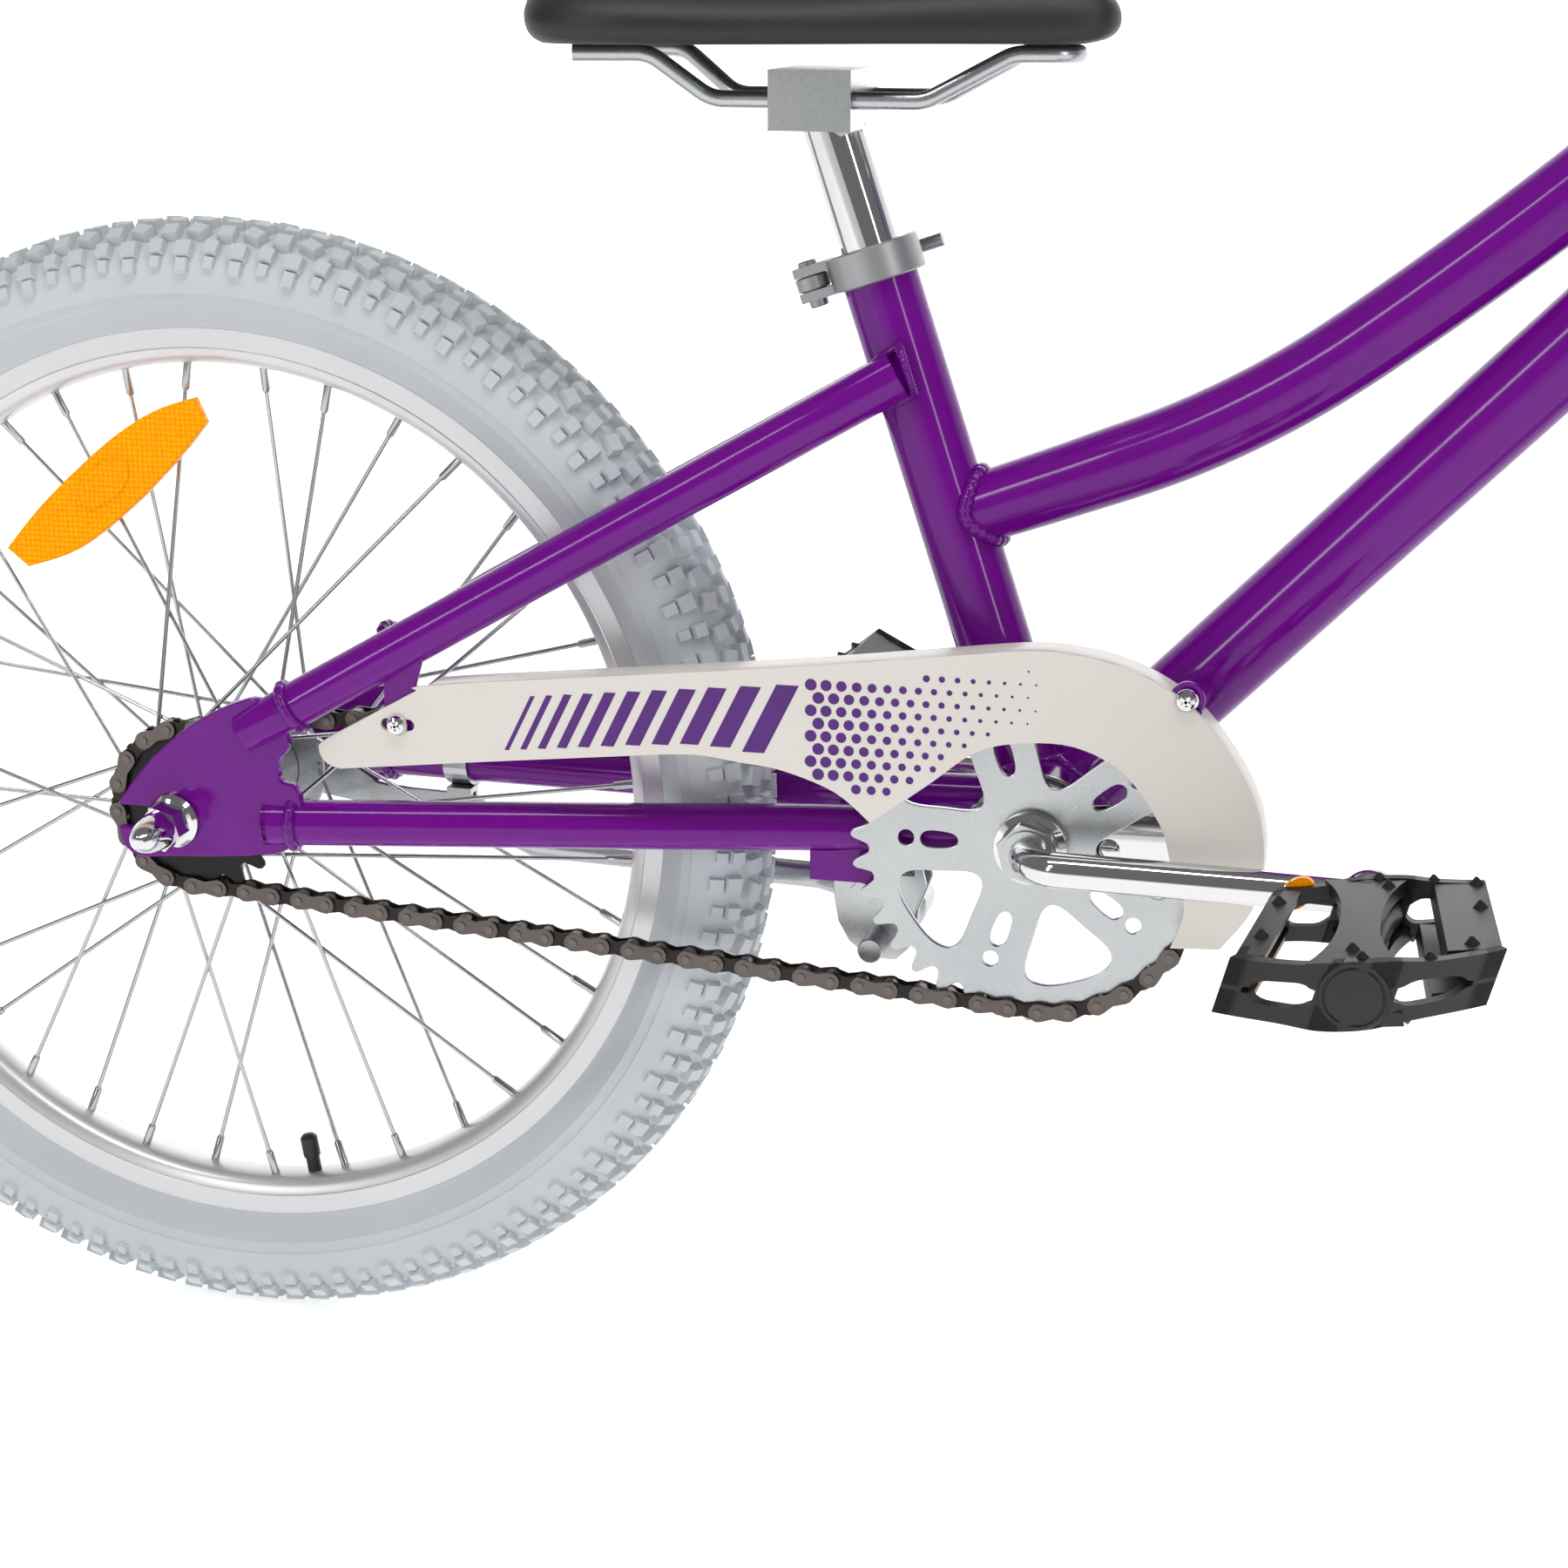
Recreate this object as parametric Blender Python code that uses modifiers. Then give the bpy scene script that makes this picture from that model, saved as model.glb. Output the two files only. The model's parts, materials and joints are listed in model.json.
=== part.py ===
"""A children's 20-inch bicycle, built as separate pieces with their joint axes.

Metres, +X forward, +Z up, drive side at -Y. The ground is z = 0, and the origin lies on
the ground midway between the two axles.
"""

import math

import bmesh
import bpy
from mathutils import Matrix, Vector

MM = 0.001
GAP = 0.3 * MM
RUNNING = 0.4 * MM

WHEELBASE = 880 * MM
TYRE_WIDTH = 51 * MM
TREAD_FLAT = 18 * MM
WHEEL_STEPS = 48
RIM_RADIUS = 209.5 * MM
RIM_WIDTH = 26 * MM
RIM_DEPTH = 14.5 * MM
TYRE_HEIGHT = 45.5 * MM
TYRE_RADIUS = RIM_RADIUS + TYRE_HEIGHT
TYRE_ROOM = 24 * MM
SPOKE_RADIUS = 1.0 * MM
SPOKES_PER_SIDE = 18
FLANGE_OFFSET = 29 * MM
FLANGE_RADIUS = 32 * MM
FLANGE_THICK = 3 * MM
SPOKE_HOLE_RADIUS = 28 * MM
REAR_BARREL = 19 * MM
FRONT_BARREL = 14 * MM
AXLE_RADIUS = 4.75 * MM
AXLE_BORE = AXLE_RADIUS + RUNNING
HUB_RIGHT = -(FLANGE_OFFSET + 4.5 * MM)
HUB_LEFT = FLANGE_OFFSET + 10 * MM
FRONT_HUB_END = FLANGE_OFFSET + 4.5 * MM
BRAKE_ARM_Y = HUB_LEFT + 7 * MM
BRAKE_ARM_THICK = 3 * MM

SHELL_X = 375 * MM
SHELL_Z = 10 * MM
SHELL_RADIUS = 28.5 * MM
SHELL_BORE = 25.5 * MM
SHELL_HALF = 33 * MM
CUP_FLANGE = 2 * MM
CONE_RADIUS = 14.4 * MM

SEAT_ANGLE = math.radians(71.5)
SEAT_TUBE_RADIUS = 15.9 * MM
SEAT_TUBE_BORE = 13.0 * MM
SEAT_TUBE_LENGTH = 252 * MM
SEAT_POST_RADIUS = SEAT_TUBE_BORE - GAP
CLAMP_HEIGHT = 14.5 * MM
SEAT_POST_SHOWN = 62 * MM

DOWN_TUBE_RADIUS = 18.35 * MM
TOP_TUBE_RADIUS = 15.9 * MM
STAY_RADIUS = 10 * MM
DROPOUT_INNER = 59 * MM
DROPOUT_THICK = 5 * MM

HEAD_ANGLE = math.radians(68.5)
HEAD_TUBE_RADIUS = 19.5 * MM
HEAD_TUBE_BORE = 16.5 * MM
HEAD_BELOW = 30 * MM
HEAD_ABOVE = 66 * MM
CUP_HEIGHT = 9 * MM
STEERER_RADIUS = 12.7 * MM
CROWN_HEIGHT = 28 * MM
FORK_HALF = 52 * MM
FORK_PLATE = 5 * MM
BLADE_RADIUS = 12 * MM
BLADE_Y = 44 * MM
CROWN_RADIUS = 18 * MM
CROWN_TOP = -(HEAD_BELOW + GAP + CUP_HEIGHT + RUNNING)
STEM_LOW = HEAD_ABOVE + GAP + CUP_HEIGHT + RUNNING
STEM_HEIGHT = 38 * MM
STEM_REACH = 46 * MM
BAR_RADIUS = 11.1 * MM

CHAIN_Y = -42 * MM
CHAIN_PITCH = 12.7 * MM
RING_TEETH = 36
SPROCKET_TEETH = 18
TOOTH_THICK = 3 * MM
PLATE_INSIDE = 2.0 * MM
PLATE_THICK = 2.2 * MM
PLATE_HALF = 4.0 * MM
DRIVER_INNER = HUB_RIGHT - RUNNING
DRIVER_OUTER = CHAIN_Y - 4 * MM

CRANK_LENGTH = 140 * MM
CRANK_ANGLE = math.radians(0)
CRANK_RADIUS = 8 * MM
CRANK_ARM_Y = 73 * MM
CRANK_EYE_Y = 78 * MM
PEDAL_LENGTH = 95 * MM
PEDAL_INNER_LENGTH = 80 * MM
PEDAL_WIDTH = 105 * MM
PEDAL_BOW = 20 * MM
PEDAL_HEIGHT = 21 * MM
PEDAL_LEAN = 0.4
PEDAL_BOSS = 13 * MM
SPINDLE_RADIUS = 6 * MM
SPINDLE_FLANGE = 3 * MM
EYE_HALF = 8 * MM
PEDAL_INNER = CRANK_EYE_Y + EYE_HALF + GAP + SPINDLE_FLANGE + RUNNING

GUARD_FACE = -60 * MM
GUARD_THICK = 2 * MM
GUARD_LIP = 17 * MM
BRACKET_REACH = 91.5 * MM
BRACKET_WEB = 3 * MM

KICK_PLATE_LENGTH = 34 * MM
KICK_PLATE_LOW = -14 * MM
KICK_PIN = 5.5 * MM
KICK_LEG = 195 * MM

RAIL_RADIUS = 3.5 * MM
SADDLE_BASE = 22 * MM

HUB_HEIGHT = TYRE_RADIUS * math.cos(math.pi / WHEEL_STEPS)
REAR = Vector((-WHEELBASE / 2, 0, HUB_HEIGHT))
FRONT = Vector((WHEELBASE / 2, 0, HUB_HEIGHT))
SHELL = REAR + Vector((SHELL_X, 0, SHELL_Z))
SEAT_AXIS = Vector((-math.cos(SEAT_ANGLE), 0, math.sin(SEAT_ANGLE)))
HEAD_AXIS = Vector((-math.cos(HEAD_ANGLE), 0, math.sin(HEAD_ANGLE)))
ACROSS = Vector((0, 1, 0))
UP = Vector((0, 0, 1))


def mm(x, y, z):
    """A vector given in millimetres."""
    return Vector((x, y, z)) * MM


HEAD = REAR + mm(700, 0, 343.5)
SADDLE_AT = SHELL + SEAT_AXIS * (SEAT_TUBE_LENGTH + SEAT_POST_SHOWN)
KICK_PLATE_AT = REAR + Vector((TYRE_RADIUS + TYRE_ROOM + KICK_PLATE_LENGTH / 2, 0, 0))
KICK_PIVOT = KICK_PLATE_AT + mm(7, 0, -48)

for leftover in list(bpy.data.objects):
    bpy.data.objects.remove(leftover, do_unlink=True)

PARTS = bpy.data.collections.new("childrens_bicycle")
bpy.context.scene.collection.children.link(PARTS)


def principled(name, colour, metallic, roughness):
    mat = bpy.data.materials.new(name)
    mat.use_nodes = True
    shader = mat.node_tree.nodes["Principled BSDF"]
    shader.inputs["Base Color"].default_value = (*colour, 1)
    shader.inputs["Metallic"].default_value = metallic
    shader.inputs["Roughness"].default_value = roughness
    mat.diffuse_color = (*colour, 1)
    return mat


def kept(obj, name, colour, metallic=0.0, roughness=0.4, sharp=35):
    """Names a finished piece, gives it its material and shades it."""
    obj.name = name
    obj.data.name = name
    obj.data.materials.clear()
    obj.data.materials.append(principled(name, colour, metallic, roughness))
    obj.data.shade_smooth()
    obj.data.set_sharp_from_angle(angle=math.radians(sharp))
    return obj


PURPLE = (0.13, 0.03, 0.28)
CREAM = (0.72, 0.68, 0.62)
TYRE_WHITE = (0.62, 0.66, 0.70)
SILVER = (0.62, 0.62, 0.63)
CHROME = (0.75, 0.75, 0.76)
ZINC = (0.50, 0.50, 0.50)
BLACK = (0.02, 0.02, 0.02)
CHAIN_BROWN = (0.10, 0.08, 0.06)
AMBER = (0.80, 0.28, 0.02)


def linked(name, data):
    obj = bpy.data.objects.new(name, data)
    PARTS.objects.link(obj)
    return obj


def settled(obj):
    """Turns an object with modifiers, or a curve, into one plain welded mesh."""
    bpy.context.view_layer.update()
    graph = bpy.context.evaluated_depsgraph_get()
    mesh = bpy.data.meshes.new_from_object(obj.evaluated_get(graph))
    work = bmesh.new()
    work.from_mesh(mesh)
    bmesh.ops.remove_doubles(work, verts=work.verts, dist=0.004 * MM)
    bmesh.ops.recalc_face_normals(work, faces=work.faces)
    work.to_mesh(mesh)
    work.free()
    result = linked("piece", mesh)
    result.matrix_world = obj.matrix_world.copy()
    bpy.data.objects.remove(obj, do_unlink=True)
    return result


def placed(obj, centre, axis, spin=0.0):
    """Turns the object's own Z onto the axis and moves it to the centre."""
    turn = UP.rotation_difference(axis).to_matrix().to_4x4()
    obj.matrix_world = Matrix.Translation(centre) @ turn @ Matrix.Rotation(spin, 4, "Z")
    return obj


def turned(profile, centre, axis, ring=False, steps=16, spin=0.0):
    """A solid turned about an axis from (radius, height) points, top to bottom down the outside."""
    mesh = bpy.data.meshes.new("profile")
    points = [(radius, 0, height) for radius, height in profile]
    edges = [(i, i + 1) for i in range(len(points) - 1)]
    if ring:
        edges.append((len(points) - 1, 0))
    mesh.from_pydata(points, edges, [])
    obj = linked("turned", mesh)
    screw = obj.modifiers.new("turn", "SCREW")
    screw.steps = steps
    screw.render_steps = steps
    screw.use_merge_vertices = True
    screw.merge_threshold = 0.00001
    placed(obj, centre, axis, spin)
    return settled(obj)


def bar(radius, start, end, steps=16, bore=0.0):
    """A straight round bar between two points, or a tube when a bore is given."""
    length = (end - start).length
    if bore:
        profile = [(radius, length), (radius, 0), (bore, 0), (bore, length)]
    else:
        profile = [(0, length), (radius, length), (radius, 0), (0, 0)]
    return turned(profile, start, (end - start).normalized(), ring=bore > 0, steps=steps)


def bent(points, radius, sides=14, radii=None):
    """A round bar along a chain of points, as a bevelled curve with filled caps."""
    data = bpy.data.curves.new("path", "CURVE")
    data.dimensions = "3D"
    data.bevel_depth = radius
    data.bevel_resolution = (sides - 4) // 2
    data.use_fill_caps = True
    spline = data.splines.new("POLY")
    spline.points.add(len(points) - 1)
    for i, point in enumerate(points):
        spline.points[i].co = (*point, 1)
        spline.points[i].radius = radii[i] if radii else 1.0
    return settled(linked("bent", data))


def plate(outline, thickness, y, holes=()):
    """A flat plate in the XZ plane, centred on y, from an outline and holes of (x, z) points."""
    data = bpy.data.curves.new("outline", "CURVE")
    data.dimensions = "2D"
    data.fill_mode = "BOTH"
    data.extrude = thickness / 2
    for loop in [outline, *holes]:
        spline = data.splines.new("POLY")
        spline.points.add(len(loop) - 1)
        for point, (x, z) in zip(spline.points, loop):
            point.co = (x, z, 0, 1)
        spline.use_cyclic_u = True
    obj = linked("plate", data)
    obj.matrix_world = Matrix.Translation((0, y, 0)) @ Matrix.Rotation(math.pi / 2, 4, "X")
    return settled(obj)


def block(size, centre, turn=None):
    """A box of a size about a centre, turned by a matrix when one is given."""
    mesh = bpy.data.meshes.new("block")
    work = bmesh.new()
    bmesh.ops.create_cube(work, size=1)
    bmesh.ops.scale(work, vec=size, verts=work.verts)
    work.to_mesh(mesh)
    work.free()
    obj = linked("block", mesh)
    obj.matrix_world = Matrix.Translation(centre) @ (turn or Matrix.Identity(4))
    return obj


def boolean(obj, other, operation):
    modifier = obj.modifiers.new("combine", "BOOLEAN")
    modifier.operation = operation
    modifier.solver = "EXACT"
    modifier.object = other
    result = settled(obj)
    bpy.data.objects.remove(other, do_unlink=True)
    return result


def cut(obj, *cutters):
    for cutter in cutters:
        obj = boolean(obj, cutter, "DIFFERENCE")
    return obj


def joined(obj, *others):
    for other in others:
        obj = boolean(obj, other, "UNION")
    return obj


def circle(x, z, radius, count, start=0.0):
    """Points of a circle in the XZ plane."""
    step = 2 * math.pi / count
    angles = [start + i * step for i in range(count)]
    return [(x + radius * math.cos(a), z + radius * math.sin(a)) for a in angles]


def rounded(points, radius, steps=5):
    """The chain of points with each inner corner replaced by an arc."""
    result = [points[0]]
    for before, corner, after in zip(points, points[1:], points[2:]):
        back = (before - corner).normalized()
        onward = (after - corner).normalized()
        half = back.angle(onward) / 2
        reach = min(radius / math.tan(half), 0.49 * (before - corner).length)
        reach = min(reach, 0.49 * (after - corner).length)
        size = reach * math.tan(half)
        middle = corner + (back + onward).normalized() * (size / math.sin(half))
        start = corner + back * reach - middle
        sweep = start.angle(corner + onward * reach - middle)
        turn_axis = start.cross(corner + onward * reach - middle).normalized()
        for i in range(steps + 1):
            result.append(middle + Matrix.Rotation(sweep * i / steps, 3, turn_axis) @ start)
    result.append(points[-1])
    return result


def flat(points):
    """Points in millimetres from the rear hub as (x, z) pairs in the object's frame."""
    return [(REAR.x + x * MM, REAR.z + z * MM) for x, z in points]


def along_seat(distance):
    """A point on the seat tube's axis, measured up from the bottom bracket."""
    return SHELL + SEAT_AXIS * distance


def along_head(up, forward=0.0, y=0.0):
    """A point measured up the steering axis from the down tube, and forward square to it."""
    ahead = Vector((math.sin(HEAD_ANGLE), 0, math.cos(HEAD_ANGLE)))
    return HEAD + HEAD_AXIS * up + ahead * forward + ACROSS * y


def shell_cutter():
    return bar(SHELL_RADIUS + GAP, SHELL - ACROSS * 0.06, SHELL + ACROSS * 0.06, 32)


def seat_tube_cutter():
    return bar(SEAT_TUBE_RADIUS + GAP, SHELL - SEAT_AXIS * 0.01, along_seat(SEAT_TUBE_LENGTH + 0.01))


def head_cutter():
    return bar(HEAD_TUBE_RADIUS + GAP, along_head(-0.09), along_head(0.12))


def chainstay_path(side):
    points = [(36, 60.3, 0.7), (48, 59.5, 1), (120, 50.5, 2.9), (200, 40.5, 5), (270, 31, 6.9)]
    points += [(300, 28.6, 7.7), (372, 26.5, 9.6)]
    return [REAR + mm(x, side * y, z) for x, y, z in points]


def seatstay_path(side):
    points = [(24, 61.5), (50, 60.5), (81, 57), (119, 51), (157, 45), (194, 40), (274, 30), (312, 22.5)]
    return [REAR + mm(x, side * y, 89.6 + 0.5694 * (x - 119.5)) for x, y in points]


def dropout_outline(grow=1.0):
    """The rear end plate with its slot open to the back."""
    slot = (AXLE_RADIUS + GAP) / MM
    points = [(-26, slot), (-25, 14), (-12, 28), (4, 41), (20, 50), (34, 46), (52, 24), (58, 12)]
    points += [(54, -8), (46, -13), (20, -15.5), (-8, -16), (-20, -13), (-26, -slot), (1.5, -slot)]
    points += [(5, -0.7 * slot), (slot + 1.5, 0), (5, 0.7 * slot), (1.5, slot)]
    return flat([(20 + grow * (x - 20), 12 + grow * (z - 12)) for x, z in points])


def dropout(side, extra=0.0, grow=1.0):
    middle = side * (DROPOUT_INNER + DROPOUT_THICK / 2)
    return plate(dropout_outline(grow), DROPOUT_THICK + extra, middle)


def guard_tab():
    """The tab under the right seatstay that holds the guard's rear screw."""
    outline = flat([(97, 42), (111, 42), (112, 66), (118, 86), (98, 76)])
    inside = GUARD_FACE + GUARD_THICK + GAP
    return plate(outline, 3 * MM, inside + 1.5 * MM)


def guard_ear_tab():
    """The tab on the down tube that holds the guard's front screw."""
    inside = GUARD_FACE + GUARD_THICK + GAP
    reach = -12 * MM - inside
    arm = block((12 * MM, reach, 4 * MM), REAR + mm(438, 0, 76) + ACROSS * (inside + reach / 2))
    ear = plate(flat(circle_mm(438, 80, 7, 12)), 3 * MM, inside + 1.5 * MM)
    return joined(arm, ear)


def circle_mm(x, z, radius, count):
    return circle(x, z, radius, count, math.pi / count)


def frame_tubes():
    seat_tube = bar(SEAT_TUBE_RADIUS, SHELL, along_seat(SEAT_TUBE_LENGTH), bore=SEAT_TUBE_BORE)
    kept(cut(seat_tube, shell_cutter()), "seat_tube", PURPLE)
    half = ACROSS * SHELL_HALF
    kept(bar(SHELL_RADIUS, SHELL - half, SHELL + half, 32, SHELL_BORE), "bottom_bracket_shell", PURPLE)
    down = cut(bar(DOWN_TUBE_RADIUS, SHELL, HEAD), shell_cutter(), seat_tube_cutter(), head_cutter())
    kept(joined(down, guard_ear_tab()), "down_tube", PURPLE)
    points = [(331.5, 137.7), (366.5, 150.4), (388, 158.8), (409, 166), (430.5, 175.8), (451, 184.9)]
    points += [(471, 197), (491, 211), (511, 226), (562, 266), (620, 316)]
    path = [REAR + mm(x, 0, z) for x, z in points] + [along_head(37 * MM)]
    top = cut(bent(path, TOP_TUBE_RADIUS), seat_tube_cutter(), head_cutter())
    top = cut(top, bar(DOWN_TUBE_RADIUS + GAP, SHELL, HEAD))
    kept(top, "top_tube", PURPLE)
    head = bar(HEAD_TUBE_RADIUS, along_head(-HEAD_BELOW), along_head(HEAD_ABOVE), bore=HEAD_TUBE_BORE)
    kept(head, "head_tube", PURPLE)


def rear_triangle():
    for side, name in ((-1, "right"), (1, "left")):
        slot = dropout(side, 2 * GAP, 1.02)
        chainstay = cut(bent(chainstay_path(side), STAY_RADIUS), shell_cutter(), slot)
        kept(chainstay, "chainstay_" + name, PURPLE)
        slot = dropout(side, 2 * GAP, 1.02)
        seatstay = cut(bent(seatstay_path(side), STAY_RADIUS), seat_tube_cutter(), slot)
        if side < 0:
            seatstay = joined(seatstay, guard_tab())
        kept(seatstay, "seatstay_" + name, PURPLE)
        kept(dropout(side), "dropout_" + name, PURPLE)


def kickstand_plate():
    low, high, length = KICK_PLATE_LOW, 4 * MM, KICK_PLATE_LENGTH
    body = block((length, 72 * MM, high - low), KICK_PLATE_AT + UP * (high + low) / 2)
    inner = block((2 * length, 38 * MM, 30 * MM), KICK_PLATE_AT + UP * (low + 5 * MM + 15 * MM))
    stays = [bent(chainstay_path(side), STAY_RADIUS + GAP) for side in (-1, 1)]
    kept(cut(body, inner, *stays), "kickstand_plate", PURPLE)


def bearing_cups():
    bore = CONE_RADIUS + RUNNING
    seat = SHELL_BORE - GAP
    for side, name in ((-1, "right"), (1, "left")):
        profile = [(SHELL_RADIUS, GAP + CUP_FLANGE), (SHELL_RADIUS, GAP), (seat, GAP)]
        profile += [(seat, -12 * MM), (bore, -12 * MM), (bore, GAP + CUP_FLANGE)]
        cup = turned(profile, SHELL + ACROSS * side * SHELL_HALF, ACROSS * side, ring=True)
        kept(cup, "bearing_cup_" + name, ZINC, 1.0)


def headset_cups():
    bore = STEERER_RADIUS + RUNNING
    wide = HEAD_TUBE_RADIUS + 1.5 * MM
    profile = [(wide - 4 * MM, GAP + CUP_HEIGHT), (wide, GAP + 0.5 * CUP_HEIGHT), (wide, GAP), (bore, GAP)]
    profile.append((bore, GAP + CUP_HEIGHT))
    lower = turned(profile, along_head(-HEAD_BELOW), -HEAD_AXIS, ring=True)
    kept(lower, "headset_cup_lower", CHROME, 1.0, 0.15)
    upper = turned(profile, along_head(HEAD_ABOVE), HEAD_AXIS, ring=True)
    kept(upper, "headset_cup_upper", CHROME, 1.0, 0.15)


def seat_clamp():
    """A band round the seat tube with two lugs at the back and a barrel pin between them."""
    back = Vector((-math.sin(SEAT_ANGLE), 0, -math.cos(SEAT_ANGLE)))
    bore = SEAT_TUBE_RADIUS + GAP
    outer = bore + 3.6 * MM
    base = along_seat(SEAT_TUBE_LENGTH - CLAMP_HEIGHT)
    top = base + SEAT_AXIS * CLAMP_HEIGHT
    band = bar(outer, base, top, 32, bore)
    turn = Matrix((back, ACROSS, SEAT_AXIS)).transposed().to_4x4()
    pin_at = base + back * (outer + 8 * MM)
    for height in (2 * MM, CLAMP_HEIGHT - 2 * MM):
        middle = base + back * (outer + 6 * MM) + SEAT_AXIS * height
        band = joined(band, block((15 * MM, 13 * MM, 4 * MM), middle, turn))
    pin = bar(4 * MM, pin_at - SEAT_AXIS * 3 * MM, pin_at + SEAT_AXIS * (CLAMP_HEIGHT + 2 * MM), 16)
    kept(joined(band, pin), "seat_clamp", SILVER, 1.0, 0.4)
    eye_low = pin_at + SEAT_AXIS * (4 * MM + GAP)
    eye_high = pin_at + SEAT_AXIS * (CLAMP_HEIGHT - 4 * MM - GAP)
    middle = (eye_low + eye_high) / 2
    path = [middle + ACROSS * 5 * MM, middle + ACROSS * 25 * MM - back * 4 * MM]
    path.append(middle + ACROSS * 26 * MM - back * 52 * MM)
    lever = joined(bar(7 * MM, eye_low, eye_high, 16), bent(rounded(path, 10 * MM), 2.9 * MM, 8))
    lever = cut(lever, bar(4 * MM + RUNNING, eye_low - SEAT_AXIS * 5 * MM, eye_high + SEAT_AXIS * 5 * MM, 16))
    kept(lever, "seat_clamp_lever", SILVER, 1.0, 0.35)
    return pin_at


def tyre_profile():
    """A tyre section open towards the rim, with a flat band of tread."""
    half, flat_half, bead = TYRE_WIDTH / 2, TREAD_FLAT / 2, RIM_RADIUS + GAP
    tall = TYRE_RADIUS - bead
    edge = RIM_WIDTH / 2 - 1 * MM
    side = [(bead, edge), (bead + 0.22 * tall, 0.88 * half), (bead + 0.5 * tall, half)]
    side += [(bead + 0.77 * tall, 0.84 * half), (bead + 0.94 * tall, 0.56 * half), (TYRE_RADIUS, flat_half)]
    other = [(radius, -y) for radius, y in reversed(side)]
    inner = [(bead, edge - 3 * MM), (bead + 0.7 * tall, 0.6 * half)]
    return side + other + [(radius, -y) for radius, y in inner] + list(reversed(inner))


def rim_profile():
    half, foot = RIM_WIDTH / 2, RIM_RADIUS - RIM_DEPTH
    return [(RIM_RADIUS, half), (RIM_RADIUS, -half), (foot + 2 * MM, 1.5 * MM - half), (foot, 5 * MM - half),
            (foot, half - 5 * MM), (foot + 2 * MM, half - 1.5 * MM)]


def spokes(centre, side, barrel):
    """One hub flange with its spokes crossing three others on the way to the rim."""
    y = side * FLANGE_OFFSET
    half = FLANGE_THICK / 2
    profile = [(FLANGE_RADIUS, half), (FLANGE_RADIUS, -half), (barrel + GAP, -half), (barrel + GAP, half)]
    flange = turned(profile, centre + ACROSS * y, ACROSS, ring=True, steps=36)
    reach = (RIM_RADIUS - RIM_DEPTH) * math.cos(math.pi / WHEEL_STEPS) - 2 * GAP
    step = 2 * math.pi / SPOKES_PER_SIDE
    data = bpy.data.curves.new("spokes", "CURVE")
    data.dimensions = "3D"
    data.bevel_depth = SPOKE_RADIUS
    data.bevel_resolution = 0
    data.use_fill_caps = True
    for i in range(SPOKES_PER_SIDE):
        start = i * step + side * step / 4
        lean = 1 if i % 2 else -1
        end = start + lean * 3 * step
        inner = Vector((math.cos(start), 0, math.sin(start))) * SPOKE_HOLE_RADIUS
        outer = Vector((math.cos(end), 0, math.sin(end))) * reach
        spline = data.splines.new("POLY")
        spline.points.add(1)
        layer = ACROSS * lean * (SPOKE_RADIUS + GAP / 2)
        spline.points[0].co = (*(centre + inner + ACROSS * y + layer), 1)
        spline.points[1].co = (*(centre + outer + ACROSS * side * 2.5 * MM + layer), 1)
    return joined(flange, settled(linked("wires", data)))


def wheel(name, centre, barrel, inner_end, outer_end):
    """Tyre, rim, hub barrel and the two sets of spokes of one wheel."""
    spin = math.pi / WHEEL_STEPS
    tyre = turned(tyre_profile(), centre, ACROSS, ring=True, steps=WHEEL_STEPS, spin=spin)
    kept(tyre, name + "_tyre", TYRE_WHITE, 0.0, 0.6)
    rim = turned(rim_profile(), centre, ACROSS, ring=True, steps=WHEEL_STEPS, spin=spin)
    kept(rim, name + "_rim", SILVER, 1.0, 0.25)
    hub = bar(barrel, centre + ACROSS * inner_end, centre + ACROSS * outer_end, 32, AXLE_BORE)
    kept(hub, name + "_hub", ZINC, 1.0, 0.3)
    kept(spokes(centre, -1, barrel), name + "_spokes_right", SILVER, 1.0, 0.25)
    kept(spokes(centre, 1, barrel), name + "_spokes_left", SILVER, 1.0, 0.25)


def axle(centre, stops, reach):
    """A round axle with collars, each from one distance along Y to another."""
    rod = bar(AXLE_RADIUS, centre - ACROSS * reach, centre + ACROSS * reach)
    for low, high, radius in stops:
        rod = joined(rod, bar(radius, centre + ACROSS * low, centre + ACROSS * high))
    return rod


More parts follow.
